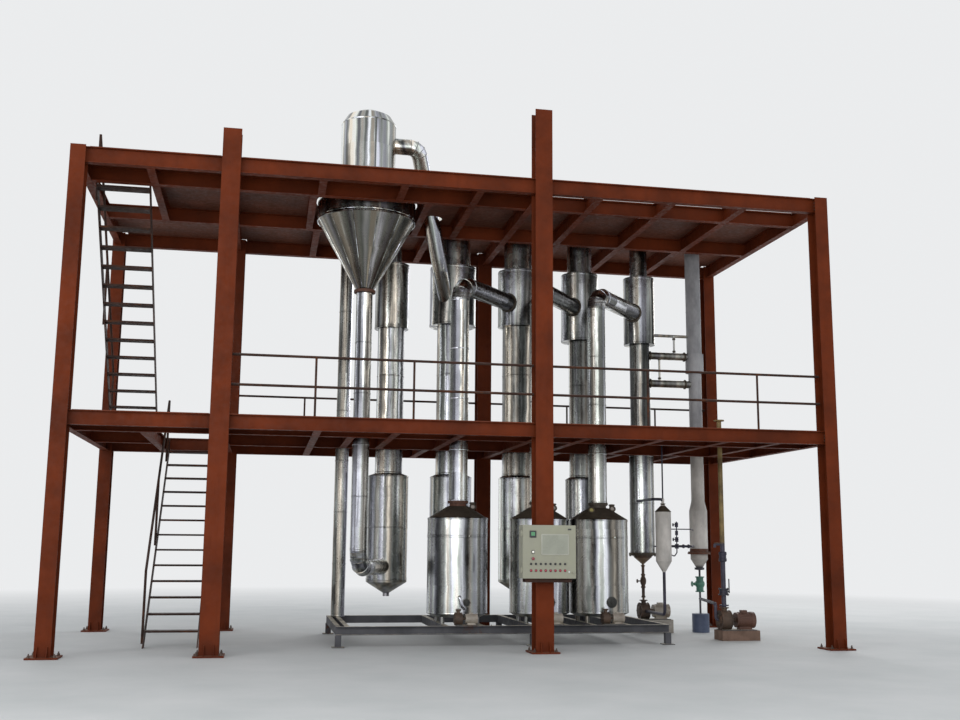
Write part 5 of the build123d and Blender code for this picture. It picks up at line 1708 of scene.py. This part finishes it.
@dataclass
class VentFittings:
    """Weld seams, rusty flange with bolts, and the drain valve's trim on the vent condenser."""

    place: tuple[float, float] = (GRID.vent_x, GRID.calandria_y)
    seams: Stops = ((5.13, 0.18), (5.5, 0.18), (2.55, 0.1275), (2.35, 0.175), (6.4, 0.15))
    band: Stops = ((0.17, 1.5), (0.222, 1.5), (0.222, 1.538), (0.18, 1.54), (0.178, 1.61), (0.17, 1.61))
    bolt_circle: float = 0.202
    bolt_face: float = 1.538
    flanges: Stops = ((0.77, 0.792), (1.048, 1.07))
    wheel: Stops = ((0.03, 0.08), (0.03, 0.12), (0.014, 0.122), (0.014, 0.15), (0.05, 0.152), (0.055, 0.16),
                    (0.05, 0.168), (0.012, 0.17))
    valve_height: float = 0.925

    def build(self) -> None:
        """Adds all of them."""
        foot = (*self.place, 0.0)
        seams, green = Mesh(), Mesh()
        for height, radius in self.seams:
            seams.hoop(weld_seam(radius - 0.004, radius + 0.004, height), foot, sides=56)
        for low, high in self.flanges:
            green.hoop(ring(0.02, 0.088, low, high, 0.002), foot, sides=28)
        green.turn(self.wheel, (*self.place, self.valve_height), Axis.LEFT, 28)
        bolts = Mesh().circle_of(hex_bolt(0.01, 0.016), (*self.place, self.bolt_face), self.bolt_circle, 12,
                                 Axis.UP)
        seams.make("vent_weld_seams", PALE)
        Mesh().hoop(self.band, foot, sides=56).make("vent_flange_band", RUST)
        bolts.make("vent_flange_bolts", BOLT)
        green.make("drain_valve_trim", GREEN)


@dataclass
class CondenserFittings:
    """Bolted flange edge, rusted drain valve and its unions, and the links of the cross pipes."""

    place: tuple[float, float] = (GRID.condenser_x, GRID.calandria_y)
    flange_low: float = 1.472
    flange_high: float = 1.524
    bolt_circle: float = 0.252
    dish_edge: Stops = ((0.16, 1.432), (0.169, 1.428), (0.178, 1.47), (0.16, 1.47))
    drain: Stops = ((0.026, 1.29), (0.04, 1.285), (0.04, 1.262), (0.028, 1.255), (0.028, 1.12), (0.042, 1.11),
                    (0.042, 1.085), (0.03, 1.078), (0.055, 1.02), (0.06, 0.98), (0.055, 0.94), (0.034, 0.89),
                    (0.044, 0.88), (0.044, 0.85), (0.03, 0.84), (0.03, 0.7), (0.04, 0.69), (0.04, 0.665))
    wheel: Stops = ((0.012, 0.05), (0.012, 0.11), (0.036, 0.112), (0.04, 0.12), (0.036, 0.128), (0.01, 0.13))
    valve_height: float = 0.98
    links: tuple[Triple, ...] = ((4.56, 4.89, 5.445), (4.88, 5.45, 5.868))
    cross_heights: tuple[float, ...] = (4.885, 5.45)
    cross_ends: tuple[float, ...] = (4.365, 5.1)

    def build(self) -> None:
        """Adds the foot's pieces and the links."""
        self.foot()
        self.cross_links()

    def foot(self) -> None:
        """Flange edge with its bolts, the dish's rusted edge, and the drain with its valve."""
        foot = (*self.place, 0.0)
        rusted = Mesh().hoop(self.dish_edge, foot, sides=56).turn(self.drain, foot, sides=20)
        rusted.turn(self.wheel, (*self.place, self.valve_height), Axis.LEFT, 20)
        bolts = Mesh().circle_of(hex_bolt(0.01, 0.018), (*self.place, self.flange_low), self.bolt_circle, 16,
                                 Axis.UP, facing=Axis.DOWN)
        edge = ring(0.24, 0.269, self.flange_low, self.flange_high, 0.004)
        Mesh().hoop(edge, foot, sides=64).make("condenser_flange_band", ROOF)
        bolts.make("condenser_flange_bolts", BOLT)
        rusted.make("condensate_valve", IRON)

    def cross_links(self) -> None:
        """Two small upright pipes that join the pipes between condenser and vent condenser."""
        links, unions = Mesh(), Mesh()
        front = self.place[1] - 0.02
        for x, low, high in self.links:
            links.pipe([(x, front, low), (x, front, high)], 0.02)
            unions.copies(union_nut(0.034), [(x, front, low + 0.1), (x, front, high - 0.06)], Axis.UP)
        for height, x in itertools.product(self.cross_heights, self.cross_ends):
            unions.hoop(ring(0.074, 0.096, -0.01, 0.01, 0.002), (x, self.place[1], height), Axis.RIGHT, 40)
        links.make("cross_links", STAINLESS)
        unions.make("cross_pipe_unions", ROOF)


@dataclass
class Studio:
    """Camera at the photograph's place and angle, pale floor, soft lamps and a pale background."""

    place: Triple = (-3.1627, -19.5195, 1.6808)
    yaw: float = 0.1917
    pitch: float = 0.1658
    roll: float = -0.0079
    focal_pixels: float = 1095.36
    picture_width: float = 960.0
    sensor: float = 36.0
    background: Colour = (0.83, 0.84, 0.85)
    soft_light: Colour = (0.92, 0.95, 1.0)
    soft_strength: float = 0.68
    floor_reach: float = 90.0
    floor_level: float = -0.002
    fade_start: float = 9.0
    fade_end: float = 24.0
    aim: Triple = (0.0, 0.0, 3.5)

    def build(self) -> None:
        """Adds camera, world, floor and lamps."""
        self.camera()
        self.world()
        self.floor()
        self.lamps()

    def camera(self) -> None:
        """Camera whose forward direction turns by yaw and pitch, then rolls about itself."""
        level = level_way(-self.yaw)
        ahead = level_way(math.pi / 2 - self.yaw)
        forward = ahead * math.cos(self.pitch) + np.array([0.0, 0.0, math.sin(self.pitch)])
        down = np.cross(forward, level)
        right = math.cos(self.roll) * level + math.sin(self.roll) * down
        lower = -math.sin(self.roll) * level + math.cos(self.roll) * down
        data = bpy.data.cameras.new("photo_camera")
        data.sensor_width = self.sensor
        data.sensor_fit = "HORIZONTAL"
        data.lens = self.sensor * self.focal_pixels / self.picture_width
        data.clip_end = 300.0
        camera = bpy.data.objects.new("photo_camera", data)
        turn = Matrix(np.stack([right, -lower, -forward], axis=1).tolist()).to_4x4()
        camera.matrix_world = Matrix.Translation(Vector(self.place)) @ turn
        bpy.context.scene.collection.objects.link(camera)
        bpy.context.scene.camera = camera

    def world(self) -> None:
        """Pale to the camera and in reflections, and a soft grey light to everything else."""
        made = bpy.data.worlds.new("soft_hall")
        made.use_nodes = True
        bpy.context.scene.world = made
        graph = Graph(made.node_tree)
        made.node_tree.nodes.clear()
        rays = graph.node("LightPath").outputs
        mirrored = graph.math("MAXIMUM", rays["Is Glossy Ray"], rays["Is Transmission Ray"])
        seen = graph.math("MAXIMUM", rays["Is Camera Ray"], mirrored)
        pale = graph.node("Background", (self.background, 1.0))
        soft = graph.node("Background", (self.soft_light, self.soft_strength))
        mixed = graph.node("MixShader", (seen, soft.outputs[0], pale.outputs[0]))
        graph.node("OutputWorld", (mixed.outputs[0],))

    def floor(self) -> None:
        """Wide pale floor that fades into the background away from the plant."""
        side = np.linspace(-self.floor_reach, self.floor_reach, 3)
        across, along = np.meshgrid(side, side, indexing="ij")
        mesh = Mesh().add(np.stack([across, along, np.full_like(across, self.floor_level)], axis=-1))
        data = bpy.data.meshes.new("floor")
        data.from_pydata(mesh.points[0].tolist(), [], mesh.quads[0].tolist())
        floor = bpy.data.objects.new("floor", data)
        bpy.context.scene.collection.objects.link(floor)
        made = bpy.data.materials.new("pale_floor")
        made.use_nodes = True
        graph = Graph(made.node_tree)
        shader = made.node_tree.nodes["Principled BSDF"]
        place = graph.object_place()
        cloud = graph.stretch(graph.noise(place, 0.8, 4.0), 0.3, 0.7)
        base = graph.mix(cloud, (0.58, 0.6, 0.59), (0.66, 0.67, 0.66))
        graph.feed_all(shader, {"Base Color": base, "Roughness": 0.75})
        length = graph.node("VectorMath", (place,), operation="LENGTH")
        far = graph.stretch(length.outputs["Value"], self.fade_start, self.fade_end)
        glow = graph.node("Emission", (self.background,))
        mixed = graph.node("MixShader", (far, shader.outputs[0], glow.outputs[0]))
        graph.feed(made.node_tree.nodes["Material Output"].inputs["Surface"], mixed.outputs[0])
        data.materials.append(made)

    def lamps(self) -> None:
        """Two large soft lamps: one in front on the left, and a weaker one behind on the right."""
        for name, spot, size, power in (("front_lamp", (-7.0, -18.0, 7.0), (24.0, 10.0), 1500.0),
                                        ("rear_lamp", (11.0, 12.0, 10.0), (10.0, 8.0), 700.0)):
            data = bpy.data.lights.new(name, "AREA")
            data.shape = "RECTANGLE"
            data.size, data.size_y = size
            data.energy = power
            lamp = bpy.data.objects.new(name, data)
            lamp.location = spot
            away = Vector(self.aim) - Vector(spot)
            lamp.rotation_euler = away.to_track_quat("-Z", "Y").to_euler()
            bpy.context.scene.collection.objects.link(lamp)


def main() -> None:
    """Builds the looks in order."""
    logging.basicConfig(level=logging.INFO, format="%(name)s: %(message)s")
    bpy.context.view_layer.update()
    bpy.context.scene.view_settings.view_transform = "Standard"
    dress_nodes()
    for assembly in (SteelJoints, Cladding, SeparatorFittings, CabinetFace, LineFittings, PumpSets,
                     ReceiverFittings, VentFittings, CondenserFittings):
        assembly().build()
        LOG.info("%s done", assembly.__name__)
    Studio().build()


if __name__ == "__main__":
    main()
